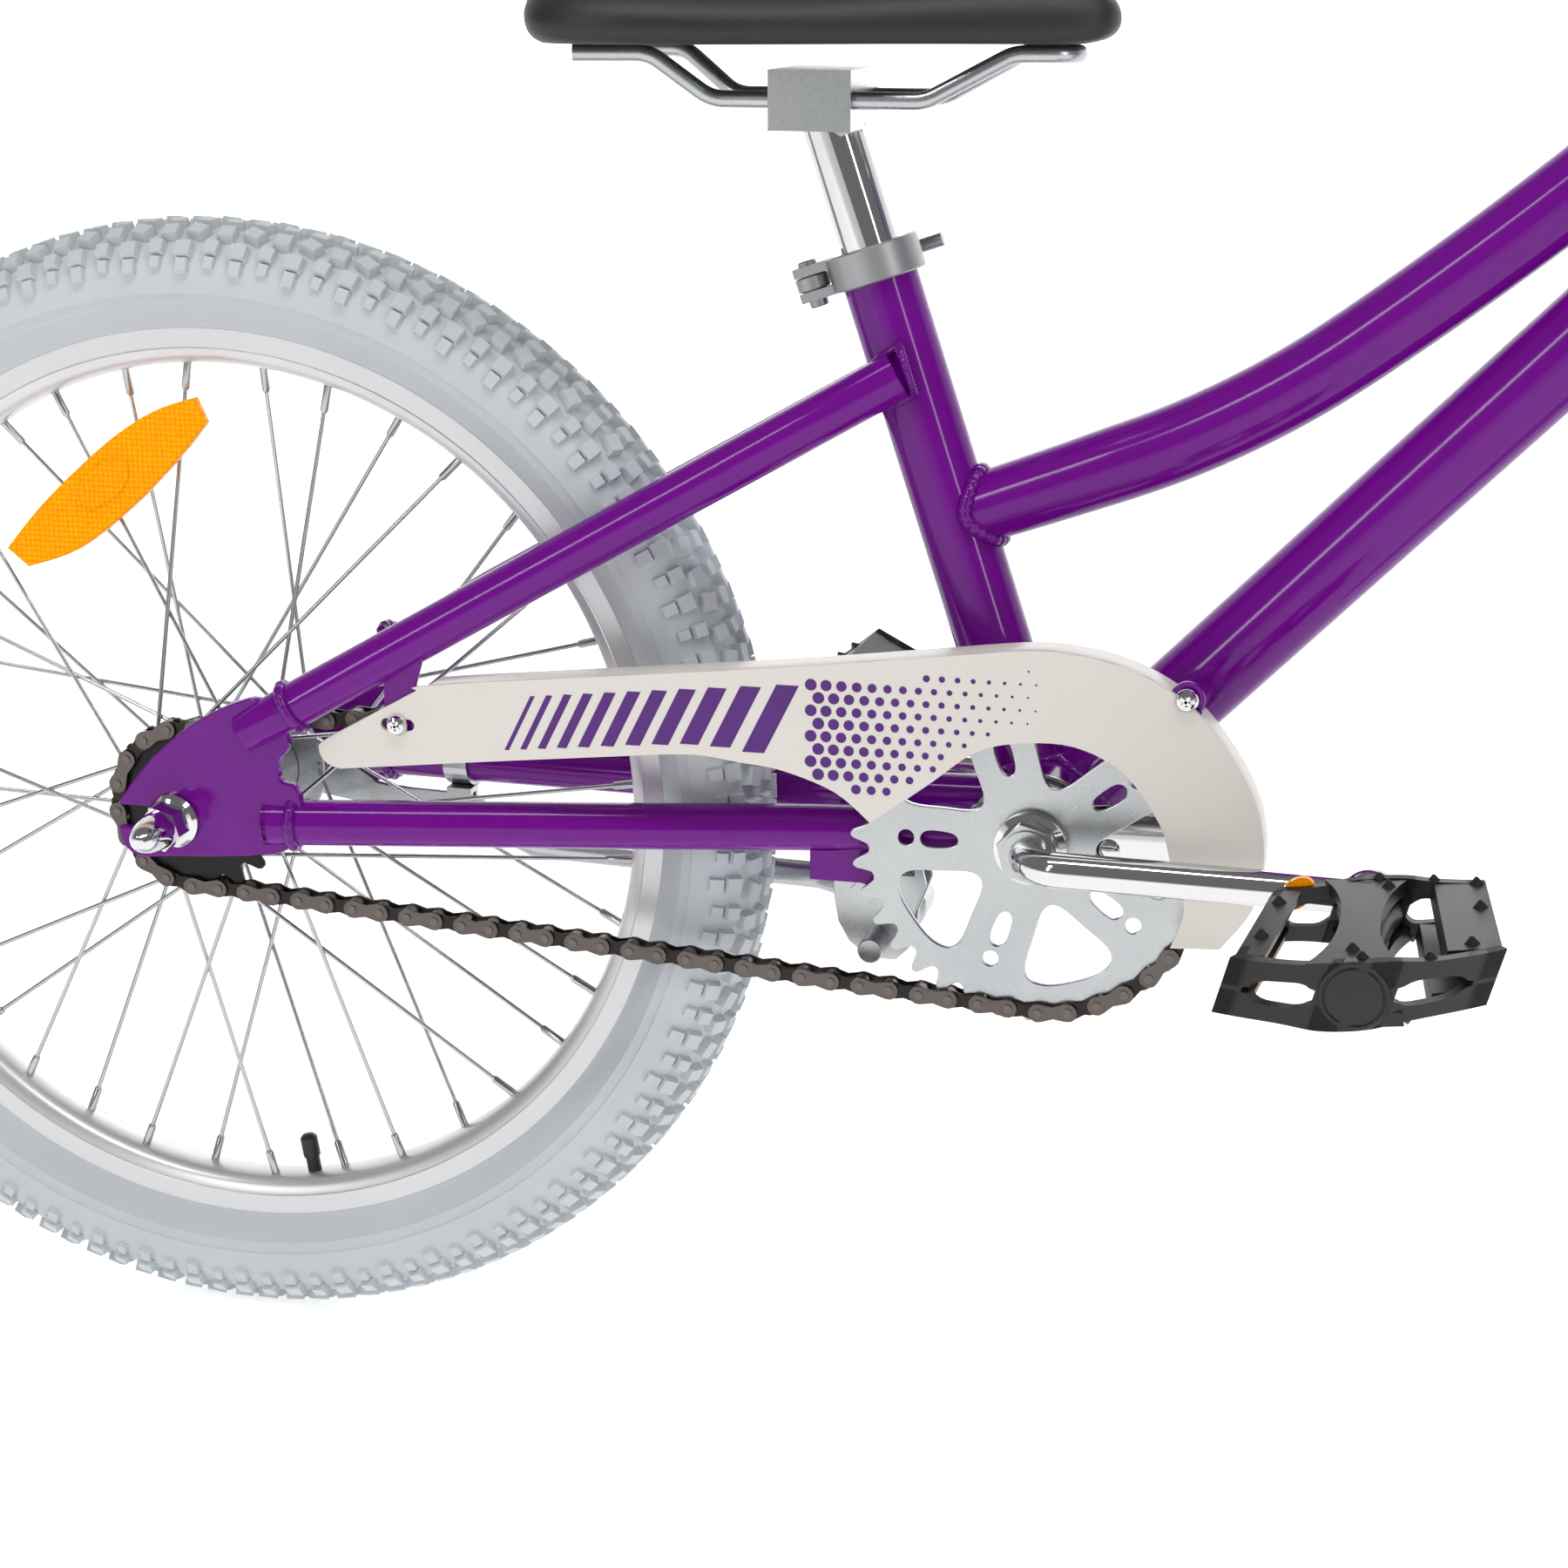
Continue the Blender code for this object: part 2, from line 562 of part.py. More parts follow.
def wheels():
    wheel("rear", REAR, REAR_BARREL, HUB_RIGHT, HUB_LEFT)
    wheel("front", FRONT, FRONT_BARREL, -FRONT_HUB_END, FRONT_HUB_END)
    outline = [(-97, 107), (-86, 99), (-62, 108), (-35, 128), (-12, 150), (2.7, 166), (-2, 178), (-18, 173)]
    outline += [(-33, 165), (-51, 152), (-78, 128)]
    reflector = plate(flat(outline), 6 * MM, -15.4 * MM)
    kept(reflector, "rear_reflector", AMBER, 0.0, 0.2)
    end = DROPOUT_INNER - GAP
    arm_low, arm_high = BRAKE_ARM_Y - GAP, BRAKE_ARM_Y + BRAKE_ARM_THICK + GAP
    neck = DRIVER_OUTER - RUNNING
    stops = [(-end, neck, 9 * MM), (HUB_LEFT + RUNNING, arm_low, 11 * MM), (arm_high, end, 9 * MM)]
    kept(axle(REAR, stops, 80 * MM), "rear_axle", ZINC, 1.0)
    bore = AXLE_RADIUS + GAP
    for side, name in ((-1, "right"), (1, "left")):
        profile = [(0, 31 * MM), (4.5 * MM, 29.5 * MM), (7.5 * MM, 25 * MM), (8.5 * MM, 19 * MM)]
        profile += [(8.5 * MM, 5 * MM), (12 * MM, 4.5 * MM), (12 * MM, 0), (bore, 0), (bore, 20 * MM), (0, 20 * MM)]
        face = ACROSS * side * (DROPOUT_INNER + DROPOUT_THICK + GAP)
        kept(turned(profile, REAR + face, ACROSS * side), "rear_axle_nut_" + name, CHROME, 1.0, 0.1)
    inner = FRONT_HUB_END + RUNNING
    plate_low, plate_high = FORK_HALF - 2.5 * MM - GAP, FORK_HALF + 2.5 * MM + GAP
    stops = [(inner, plate_low, 8 * MM), (-plate_low, -inner, 8 * MM)]
    stops += [(plate_high, plate_high + 8 * MM, 9 * MM), (-plate_high - 8 * MM, -plate_high, 9 * MM)]
    kept(axle(FRONT, stops, plate_high + 11 * MM), "front_axle", ZINC, 1.0)


def toothed(teeth, centre, start=0.0):
    """The outline of a chain wheel in the XZ plane."""
    pitch = CHAIN_PITCH / (2 * math.sin(math.pi / teeth))
    points = []
    for i in range(teeth):
        for part, radius in ((-0.30, -3.6), (-0.12, 3.2), (0.12, 3.2), (0.30, -3.6)):
            angle = start + (i + part) * 2 * math.pi / teeth
            reach = pitch + radius * MM
            points.append((centre.x + reach * math.cos(angle), centre.z + reach * math.sin(angle)))
    return points


def polar(centre, pairs, turn):
    """Points given as (millimetres, degrees) about a centre in the XZ plane."""
    points = []
    for radius, degrees in pairs:
        angle = math.radians(degrees + turn)
        points.append((centre.x + radius * MM * math.cos(angle), centre.z + radius * MM * math.sin(angle)))
    return points


def chain_wheels():
    sprocket = plate(toothed(SPROCKET_TEETH, REAR), TOOTH_THICK, CHAIN_Y)
    sprocket = joined(sprocket, bar(15 * MM, REAR + ACROSS * DRIVER_OUTER, REAR + ACROSS * DRIVER_INNER))
    reach = ACROSS * 60 * MM
    sprocket = cut(sprocket, bar(AXLE_BORE, REAR - reach, REAR + reach))
    kept(sprocket, "rear_sprocket", BLACK, 0.0, 0.4)
    window = [(28, -7), (28, 7), (40, 16), (53, 20), (59, 17), (61, 8), (61, -8), (59, -17), (53, -20), (40, -16)]
    slot = [(34, -5), (31, 0), (34, 5), (44, 4.5), (47, 0), (44, -4.5)]
    dot = [(56.5, 0), (55.5, 2.4), (53, 3.4), (50.5, 2.4), (49.5, 0), (50.5, -2.4), (53, -3.4), (55.5, -2.4)]
    holes = [circle(SHELL.x, SHELL.z, CRANK_RADIUS + GAP, 16)]
    for i in range(5):
        holes.append(polar(SHELL, window, 72 * i))
        holes.append(polar(SHELL, slot, 36 + 72 * i))
        holes.append(polar(SHELL, dot, 36 + 72 * i))
    ring = plate(toothed(RING_TEETH, SHELL), TOOTH_THICK, CHAIN_Y, holes)
    kept(ring, "chainring", ZINC, 1.0, 0.35)


def chain_loop(offset):
    """The chain's closed path round both wheels, moved out from the pitch line by an offset."""
    front = CHAIN_PITCH / (2 * math.sin(math.pi / RING_TEETH))
    rear = CHAIN_PITCH / (2 * math.sin(math.pi / SPROCKET_TEETH))
    span = SHELL - REAR
    slope = math.atan2(span.z, span.x)
    lean = math.acos((front - rear) / span.length)
    points = []
    for centre, radius, first, sweep, count in (
        (SHELL, front, slope + lean, -2 * lean, 20),
        (REAR, rear, slope - lean, 2 * lean - 2 * math.pi, 14),
    ):
        for i in range(count + 1):
            angle = first + sweep * i / count
            reach = radius + offset
            points.append((centre.x + reach * math.cos(angle), centre.z + reach * math.sin(angle)))
    return points


def chain():
    """Two ribbons of side plates joined by rollers in the two free runs."""
    outer, inner = chain_loop(PLATE_HALF), chain_loop(-PLATE_HALF)
    middle = PLATE_INSIDE + PLATE_THICK / 2
    body = plate(outer, PLATE_THICK, CHAIN_Y - middle, [inner])
    body = joined(body, plate(outer, PLATE_THICK, CHAIN_Y + middle, [inner]))
    path = chain_loop(0.0)
    half = ACROSS * (PLATE_INSIDE + 0.6 * PLATE_THICK)
    for start, end in ((path[-1], path[0]), (path[20], path[21])):
        for i in range(4, 22, 3):
            x = start[0] + (end[0] - start[0]) * i / 25
            z = start[1] + (end[1] - start[1]) * i / 25
            at = Vector((x, CHAIN_Y, z))
            body = joined(body, bar(3.5 * MM, at - half, at + half, 8))
    kept(body, "chain", CHAIN_BROWN, 1.0, 0.5)


def crank_end(side):
    """The pedal axis at the end of one crank arm, on the bicycle's middle plane."""
    turn = CRANK_ANGLE if side < 0 else CRANK_ANGLE + math.pi
    return SHELL + Vector((math.cos(turn), 0, math.sin(turn))) * CRANK_LENGTH


def crank():
    """One bar bent into both arms, with bearing cones and a collar outside the chainring."""
    path = [crank_end(-1) - ACROSS * CRANK_EYE_Y, SHELL - ACROSS * CRANK_ARM_Y]
    path += [SHELL + ACROSS * CRANK_ARM_Y, crank_end(1) + ACROSS * CRANK_EYE_Y]
    body = bent(rounded(path, 18 * MM, 4), CRANK_RADIUS, 12)
    for side in (-1, 1):
        eye = crank_end(side) + ACROSS * side * CRANK_EYE_Y
        body = joined(body, bar(13 * MM, eye - ACROSS * EYE_HALF, eye + ACROSS * EYE_HALF))
    ring_half = TOOTH_THICK / 2 + GAP
    cone_out = -CHAIN_Y - ring_half
    stops = [(-cone_out, -24 * MM, CONE_RADIUS), (24 * MM, cone_out, CONE_RADIUS)]
    stops.append((CHAIN_Y - ring_half - 8 * MM, CHAIN_Y - ring_half, 15.5 * MM))
    for low, high, radius in stops:
        body = joined(body, bar(radius, SHELL + ACROSS * low, SHELL + ACROSS * high))
    kept(body, "crank", CHROME, 1.0, 0.08)


def pedal_plan(side):
    """The pedal's outline and windows from above: forward, and out from its inner end."""
    near, far, wide = PEDAL_INNER_LENGTH / 2, PEDAL_LENGTH / 2, PEDAL_WIDTH - 0.5 * MM
    back = wide - PEDAL_BOW
    outline = [(-near, 4 * MM), (-PEDAL_BOSS, 0.5 * MM), (PEDAL_BOSS, 0.5 * MM), (near, 4 * MM)]
    outline += [(far, back), (PEDAL_BOSS, wide), (-PEDAL_BOSS, wide), (-far, back)]
    loops = [outline]
    for way in (-1, 1):
        window = [(PEDAL_BOSS + 3 * MM, 9 * MM), (near - 9 * MM, 11 * MM)]
        window += [(far - 12 * MM, back - 1 * MM), (PEDAL_BOSS + 3 * MM, wide - 9 * MM)]
        loops.append([(way * x, y) for x, y in window])
    return [[(x, side * y) for x, y in loop] for loop in loops]


def pedal(side, name, tilt):
    """A leaning platform with two open windows round a boss, and the spindle it turns on."""
    axis = crank_end(side)
    start = axis + ACROSS * side * PEDAL_INNER
    end = start + ACROSS * side * PEDAL_WIDTH
    outline, *windows = pedal_plan(side)
    body = plate(outline, PEDAL_HEIGHT, 0, windows)
    lean = Matrix.Identity(4)
    lean[0][2] = -side * PEDAL_LEAN
    level = Matrix.Rotation(-math.pi / 2, 4, "X")
    body.matrix_world = Matrix.Translation(start) @ Matrix.Rotation(tilt, 4, "Y") @ lean @ level @ body.matrix_world
    body = joined(body, bar(PEDAL_BOSS, start, end, 24))
    length = PEDAL_WIDTH - 10 * MM
    body = cut(body, bar(SPINDLE_RADIUS + RUNNING, start - ACROSS * side * MM, start + ACROSS * side * length, 16))
    kept(body, "pedal_" + name, BLACK, 0.0, 0.5)
    base = axis + ACROSS * side * (CRANK_EYE_Y + EYE_HALF + GAP)
    tip = SPINDLE_FLANGE + length - 1 * MM
    profile = [(0, tip), (SPINDLE_RADIUS, tip), (SPINDLE_RADIUS, SPINDLE_FLANGE), (9 * MM, SPINDLE_FLANGE)]
    profile += [(9 * MM, 0), (0, 0)]
    kept(turned(profile, base, ACROSS * side, steps=16), "pedal_spindle_" + name, ZINC, 1.0)


def strip(points, near, far):
    """A closed band along a chain of (x, z) points, between two distances to their right."""
    outer, inner = [], []
    for i, (x, z) in enumerate(points):
        before, after = points[max(i - 1, 0)], points[min(i + 1, len(points) - 1)]
        way = Vector((after[0] - before[0], after[1] - before[1])).normalized()
        outer.append((x + way.y * near, z - way.x * near))
        inner.append((x + way.y * far, z - way.x * far))
    return outer + inner[::-1]


def chain_guard():
    edge = [(119, 66.7), (200, 75.7), (273, 83.7), (330, 91), (373.5, 96.5), (392.5, 96), (407, 93.5)]
    edge += [(419, 89.6), (431, 83.5), (440.6, 77.4), (453, 63), (464.7, 44.6), (470, 28.3), (471, 12), (467, -6)]
    rest = [(455, -23), (435, -24), (440, -8), (437, 4), (434, 11.7), (429, 28), (414, 48), (393.6, 57.8)]
    rest += [(370.5, 57.7), (353, 52.5), (318, 25.7), (310, 20), (295, 32), (273, 39.7), (254.7, 42), (235, 44)]
    rest += [(210, 42), (75, 27), (67, 38), (113, 64)]
    body = plate(flat(edge + rest), GUARD_THICK, GUARD_FACE + GUARD_THICK / 2)
    depth = GUARD_LIP - GUARD_THICK / 2
    lip = plate(flat(strip(edge, 0.2, 2.2)), depth, GUARD_FACE + GUARD_THICK / 2 + depth / 2)
    ear = plate(flat(circle_mm(438, 80, 8, 16)), GUARD_THICK - 0.2 * MM, GUARD_FACE + GUARD_THICK / 2)
    room_at = GUARD_FACE + GUARD_THICK + GAP + 15 * MM
    room = block((15.3 * MM, 30 * MM, 18.7 * MM), REAR + mm(438.2, 0, 80.1) + ACROSS * room_at)
    kept(joined(body, cut(lip, room), ear), "chain_guard", CREAM, 0.0, 0.35)
    head = [(0, 3.5 * MM), (3.5 * MM, 3 * MM), (5.5 * MM, 1 * MM), (5.5 * MM, 0), (0, 0)]
    screw = turned(head, REAR + mm(438, 0, 80) + ACROSS * (GUARD_FACE - GAP), -ACROSS, steps=16)
    kept(screw, "chain_guard_screw", CHROME, 1.0, 0.2)


def chain_guard_bracket():
    """A plate on the right bearing cup whose end turns out to the inside of the guard."""
    face = -(SHELL_HALF + GAP + CUP_FLANGE + GAP)
    thick = 1.7 * MM
    bore = circle(SHELL.x, SHELL.z, CONE_RADIUS + RUNNING, 20)
    outline = polar(SHELL, [(26, a) for a in range(40, 321, 20)], 0)
    tip = SHELL.x + BRACKET_REACH
    outline += flat([(404, -2)]) + [(tip, SHELL.z - 6 * MM), (tip, SHELL.z + 14 * MM)] + flat([(404, 28)])
    body = plate(outline, thick, face - thick / 2, [bore])
    end = GUARD_FACE + GUARD_THICK + GAP
    low = Vector((tip, 0, SHELL.z + 4 * MM))
    web_at = low - Vector((BRACKET_WEB / 2, 0, 0))
    web = block((BRACKET_WEB, face - end, 20 * MM), web_at + ACROSS * (face + end) / 2)
    foot = block((15 * MM, 2 * MM, 20 * MM), low - mm(7.5, 0, 0) + ACROSS * (end + 1 * MM))
    bolt_at = REAR + mm(405.6, 0, 8)
    bolt = bar(5 * MM, bolt_at + ACROSS * (face - thick - 2 * MM), bolt_at + ACROSS * (face - thick / 2), 12)
    kept(joined(body, web, foot, bolt), "chain_guard_bracket", CHROME, 1.0, 0.2)


def brake_arm():
    outline = [(-12, 7), (-7, 12), (0, 14), (8, 12.5), (20, 8), (45, -6), (55, -11), (98, -13), (102, -18)]
    outline += [(98, -23), (50, -21), (20, -17), (0, -14), (-8, -12), (-13, -5)]
    hole = circle(REAR.x, REAR.z, AXLE_RADIUS + GAP, 16)
    middle = BRAKE_ARM_Y + BRAKE_ARM_THICK / 2
    kept(plate(flat(outline), BRAKE_ARM_THICK, middle, [hole]), "brake_arm", ZINC, 1.0)
    stay = chainstay_path(1)
    way = (stay[2] - stay[1]).normalized()
    start = stay[1] + way * 38 * MM
    strap = bar(STAY_RADIUS + 2 * MM, start, start + way * 12 * MM, 24)
    lug = block((12 * MM, 10 * MM, 16 * MM), REAR + mm(92, 0, -17) + ACROSS * middle)
    strap = cut(joined(strap, lug), bent(stay, STAY_RADIUS + GAP))
    slot = block((20 * MM, BRAKE_ARM_THICK + 2 * GAP, 12.6 * MM), REAR + mm(92, 0, -18) + ACROSS * middle)
    kept(cut(strap, slot), "brake_arm_strap", ZINC, 1.0)


def kickstand():
    """A bracket under the frame plate with a pin, and a leg that folds back along it."""
    top = KICK_PLATE_LOW - GAP
    size = (36 * MM, 18 * MM, 42 * MM)
    body = block(size, KICK_PLATE_AT + mm(5, 0, 0) + UP * (top - size[2] / 2))
    pin = bar(KICK_PIN, KICK_PIVOT - ACROSS * 26 * MM, KICK_PIVOT + ACROSS * 58 * MM, 20)
    kept(joined(body, pin), "kickstand_bracket", ZINC, 1.0, 0.35)
    eye_low, eye_high = KICK_PIVOT + ACROSS * 37 * MM, KICK_PIVOT + ACROSS * 57 * MM
    eye = bar(12 * MM, eye_low, eye_high, 24)
    start = KICK_PIVOT + ACROSS * 48 * MM
    path = [start + mm(-8, 0, 0), start + mm(-40, 4, 7)]
    path += [start + Vector((-KICK_LEG + 18 * MM, 5 * MM, 11 * MM)), start + Vector((-KICK_LEG, 5 * MM, 19 * MM))]
    leg = joined(eye, bent(rounded(path, 15 * MM, 4), 6 * MM, 12))
    leg = cut(leg, bar(KICK_PIN + RUNNING, eye_low - ACROSS * MM, eye_high + ACROSS * MM, 20))
    kept(leg, "kickstand_leg", ZINC, 1.0, 0.3)


def fork():
    crown_low = CROWN_TOP - CROWN_HEIGHT
    turn = Matrix.Rotation(HEAD_ANGLE - math.pi / 2, 4, "Y")
    end_y = BLADE_Y + BLADE_RADIUS - CROWN_RADIUS
    size = (2 * CROWN_RADIUS - 0.4 * MM, 2 * end_y, CROWN_HEIGHT)
    crown = block(size, along_head((CROWN_TOP + crown_low) / 2), turn)
    for y in (-end_y, end_y):
        low, high = along_head(crown_low + 0.2 * MM, 0, y), along_head(CROWN_TOP - 0.2 * MM, 0, y)
        crown = joined(crown, bar(CROWN_RADIUS, low, high, 24))
    top = STEM_LOW + STEM_HEIGHT + 3 * MM
    steerer = bar(STEERER_RADIUS, along_head(CROWN_TOP - 5 * MM), along_head(top))
    kept(joined(crown, steerer), "fork_steerer", PURPLE)
    ahead = Vector((math.sin(HEAD_ANGLE), 0, math.cos(HEAD_ANGLE)))
    hub_up, rake = (FRONT - HEAD).dot(HEAD_AXIS), (FRONT - HEAD).dot(ahead)
    for side, name in ((-1, "right"), (1, "left")):
        start = crown_low - GAP
        stations = [(start, 0, BLADE_Y, 1), (start - 0.09, 0, BLADE_Y, 1), (hub_up + 0.13, 0.05 * rake, 0.047, 0.9)]
        stations += [(hub_up + 0.085, 0.22 * rake, 0.049, 0.82), (hub_up + 0.045, 0.52 * rake, 0.051, 0.74)]
        stations.append((hub_up + 0.008, 0.92 * rake, FORK_HALF, 0.66))
        path = [along_head(up, forward, side * y) for up, forward, y, _ in stations]
        blade = bent(path, BLADE_RADIUS, 12, [size for _, _, _, size in stations])
        end = plate(circle(FRONT.x, FRONT.z, 15 * MM, 20), FORK_PLATE, side * FORK_HALF)
        room = ACROSS * side * 30 * MM
        middle = FRONT + ACROSS * side * FORK_HALF
        for way in (-1, 1):
            near, far = ACROSS * way * (FORK_PLATE / 2 - 0.2 * MM), ACROSS * way * 25 * MM
            blade = cut(blade, bar(15.6 * MM, middle + near, middle + far, 20))
        blade = cut(joined(blade, end), bar(AXLE_RADIUS + GAP, middle - room, middle + room))
        kept(blade, "fork_blade_" + name, PURPLE)


def bar_path():
    """The high-rise handlebar as points from right to left."""
    low = STEM_LOW + STEM_HEIGHT / 2
    half = [(285, 172, -62), (165, 160, -12), (62, 0, 0)]
    right = [along_head(low + u * MM, STEM_REACH + f * MM, -y * MM) for y, u, f in half]
    left = [Vector((p.x, -p.y, p.z)) for p in reversed(right)]
    return right + left


def cockpit():
    low = STEM_LOW + STEM_HEIGHT / 2
    clamp = along_head(low, STEM_REACH)
    post = bar(17.5 * MM, along_head(STEM_LOW), along_head(STEM_LOW + STEM_HEIGHT))
    neck = bar(13 * MM, along_head(low), clamp)
    ring = bar(17 * MM, clamp - ACROSS * 24 * MM, clamp + ACROSS * 24 * MM)
    stem = joined(post, neck, ring)
    stem = cut(stem, bar(STEERER_RADIUS + GAP, along_head(STEM_LOW - 0.01), along_head(STEM_LOW + 0.06)))
    stem = cut(stem, bar(BAR_RADIUS + GAP, clamp - ACROSS * 30 * MM, clamp + ACROSS * 30 * MM))
    kept(stem, "stem", SILVER, 1.0, 0.3)
    corners = bar_path()
    path = rounded(corners, 55 * MM, 5)
    kept(bent(path, BAR_RADIUS, 12), "handlebar", CHROME, 1.0, 0.1)
    right = corners[2].lerp(corners[1], 0.64)
    left = Vector((right.x, -right.y, right.z))
    kept(cut(bar(8 * MM, right, left), bent(path, BAR_RADIUS + GAP, 12)), "handlebar_crossbar", CHROME, 1.0, 0.1)
    for outer, inner, name in ((corners[0], corners[1], "right"), (corners[-1], corners[-2], "left")):
        way = (inner - outer).normalized()
        tip = outer - way * 5 * MM
        grip = bar(15.5 * MM, tip, outer + way * 72 * MM)
        grip = cut(grip, bar(BAR_RADIUS + GAP, outer - way * GAP, outer + way * 90 * MM, 12))
        kept(grip, "grip_" + name, BLACK, 0.0, 0.7)


def rail_path():
    high = (SADDLE_BASE - GAP - RAIL_RADIUS) / MM
    half = [(-96, 33, high), (-66, 27, high), (-42, 20, 0), (46, 20, 0), (80, 12, high), (104, 10, high)]
    right = [SADDLE_AT + mm(x, -y, z) for x, y, z in half]
    left = [SADDLE_AT + mm(x, y, z) for x, y, z in reversed(half)]
    return rounded(right + left, 16 * MM, 2)


def saddle_cage():
    """A coarse cage: stations from back to nose, each a ring of eight points."""
    stations = [(-118, 46, 46, 24), (-100, 72, 55, 17), (-60, 77, 54, 16), (-10, 54, 48, 17)]
    stations += [(40, 31, 47, 18), (92, 24, 48, 19), (122, 15, 42, 22)]
    points = []
    for x, half, top, low in stations:
        side = 0.55 * low + 0.45 * top
        ring = [(0, top), (0.62 * half, top - 1), (half, side), (0.86 * half, low), (0, low + 2)]
        ring += [(-0.86 * half, low), (-half, side), (-0.62 * half, top - 1)]
        points += [SADDLE_AT + mm(x, y, z) for y, z in ring]
    faces = [tuple(range(8)), tuple(reversed(range(len(points) - 8, len(points))))]
    for i in range(len(stations) - 1):
        for j in range(8):
            k = (j + 1) % 8
            faces.append((8 * i + j, 8 * i + 8 + j, 8 * i + 8 + k, 8 * i + k))
    return points, faces


def seat():
    low, high = SEAT_TUBE_LENGTH - 110 * MM, SEAT_TUBE_LENGTH + SEAT_POST_SHOWN
    kept(bar(SEAT_POST_RADIUS, along_seat(low), along_seat(high)), "seat_post", CHROME, 1.0, 0.1)
    clamp = block((34 * MM, 52 * MM, 24 * MM), SADDLE_AT)
    clamp = cut(clamp, bar(SEAT_POST_RADIUS + GAP, along_seat(low), along_seat(high + GAP)))
    clamp = cut(clamp, bent(rail_path(), RAIL_RADIUS + GAP, 12))
    kept(clamp, "saddle_clamp", ZINC, 1.0, 0.3)
    kept(bent(rail_path(), RAIL_RADIUS, 10), "saddle_rails", ZINC, 1.0, 0.3)
    points, faces = saddle_cage()
    mesh = bpy.data.meshes.new("cage")
    mesh.from_pydata(points, [], faces)
    obj = linked("cage", mesh)
    smooth = obj.modifiers.new("smooth", "SUBSURF")
    smooth.levels = 2
    smooth.render_levels = 2
    cushion = settled(obj)
    cushion = cut(cushion, block((0.4, 0.3, 0.1), SADDLE_AT + UP * (SADDLE_BASE - 0.05)))
    kept(cushion, "saddle", BLACK, 0.0, 0.6, 60)


def hung(name, at, pieces, parent=None):
    """An empty on a joint axis that carries its moving pieces."""
    empty = bpy.data.objects.new(name, None)
    PARTS.objects.link(empty)
    empty.empty_display_size = 0.03
    empty.location = at
    bpy.context.view_layer.update()
    if parent:
        empty.parent = parent
        empty.matrix_parent_inverse = parent.matrix_world.inverted()
        bpy.context.view_layer.update()
    for piece in pieces:
        obj = bpy.data.objects[piece]
        obj.parent = empty
        obj.matrix_parent_inverse = empty.matrix_world.inverted()
    return empty


def wheel_pieces(name):
    return [name + part for part in ("_tyre", "_rim", "_hub", "_spokes_right", "_spokes_left")]


def assemble(lever_at):
    hung("rear_wheel_axis", REAR, wheel_pieces("rear") + ["rear_reflector"])
    hung("sprocket_axis", REAR, ["rear_sprocket"])
    spindles = ["pedal_spindle_right", "pedal_spindle_left"]
    crank_axis = hung("crank_axis", SHELL, ["crank", "chainring"] + spindles)
    for side, name in ((-1, "right"), (1, "left")):
        hung("pedal_axis_" + name, crank_end(side), ["pedal_" + name], crank_axis)
    steered = ["fork_steerer", "fork_blade_right", "fork_blade_left", "stem", "handlebar"]
    steered += ["handlebar_crossbar", "grip_right", "grip_left", "front_axle"]
    steering = hung("steering_axis", HEAD, steered)
    hung("front_wheel_axis", FRONT, wheel_pieces("front"), steering)
    hung("kickstand_axis", KICK_PIVOT, ["kickstand_leg"])
    hung("seat_slide", SADDLE_AT, ["seat_post", "saddle_clamp", "saddle_rails", "saddle"])
    hung("lever_axis", lever_at, ["seat_clamp_lever"])


def build():
    frame_tubes()
    rear_triangle()
    kickstand_plate()
    bearing_cups()
    headset_cups()
    lever_at = seat_clamp()
    wheels()
    chain_wheels()
    chain()
    crank()
    pedal(-1, "right", math.radians(-6.7))
    pedal(1, "left", math.radians(-40.5))
    chain_guard()
    chain_guard_bracket()
    brake_arm()
    kickstand()
    fork()
    cockpit()
    seat()
    assemble(lever_at)


build()
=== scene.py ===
# %% [markdown]
# # A children's 20-inch bicycle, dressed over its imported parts
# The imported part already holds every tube, wheel and lever at its real size.
# This lesson lays the finer forms and the finishes over it: tyre knobs, chain
# links, weld beads, paint, chrome and moulded plastic.

import json
import math
from contextlib import contextmanager

import bmesh
import bpy
from mathutils import Matrix, Vector

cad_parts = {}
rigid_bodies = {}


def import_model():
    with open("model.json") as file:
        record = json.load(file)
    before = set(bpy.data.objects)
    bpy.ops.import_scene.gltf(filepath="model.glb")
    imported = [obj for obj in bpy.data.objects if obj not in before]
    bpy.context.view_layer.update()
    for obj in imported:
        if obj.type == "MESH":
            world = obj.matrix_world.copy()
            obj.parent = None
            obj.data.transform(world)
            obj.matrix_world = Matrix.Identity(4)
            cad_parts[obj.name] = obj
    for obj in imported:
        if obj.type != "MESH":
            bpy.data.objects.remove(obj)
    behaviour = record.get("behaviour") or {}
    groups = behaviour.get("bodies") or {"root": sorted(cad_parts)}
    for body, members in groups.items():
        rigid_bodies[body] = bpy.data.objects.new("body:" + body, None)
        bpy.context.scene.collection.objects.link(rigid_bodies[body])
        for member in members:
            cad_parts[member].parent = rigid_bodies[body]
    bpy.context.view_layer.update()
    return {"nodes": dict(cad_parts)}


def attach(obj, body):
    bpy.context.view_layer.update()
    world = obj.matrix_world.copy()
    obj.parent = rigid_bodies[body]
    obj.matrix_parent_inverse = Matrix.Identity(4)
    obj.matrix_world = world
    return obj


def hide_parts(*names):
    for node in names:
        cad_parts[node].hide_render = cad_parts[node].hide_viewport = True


for leftover in list(bpy.data.objects):
    bpy.data.objects.remove(leftover, do_unlink=True)

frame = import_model()
print("loaded", len(frame["nodes"]), "nodes")

# %% [markdown]
# ## One frame, in millimetres from the rear hub
# A bicycle is easiest to measure from its rear axle: x forward, y to the
# rider's left, z up. Every point below is written that way and moved once.

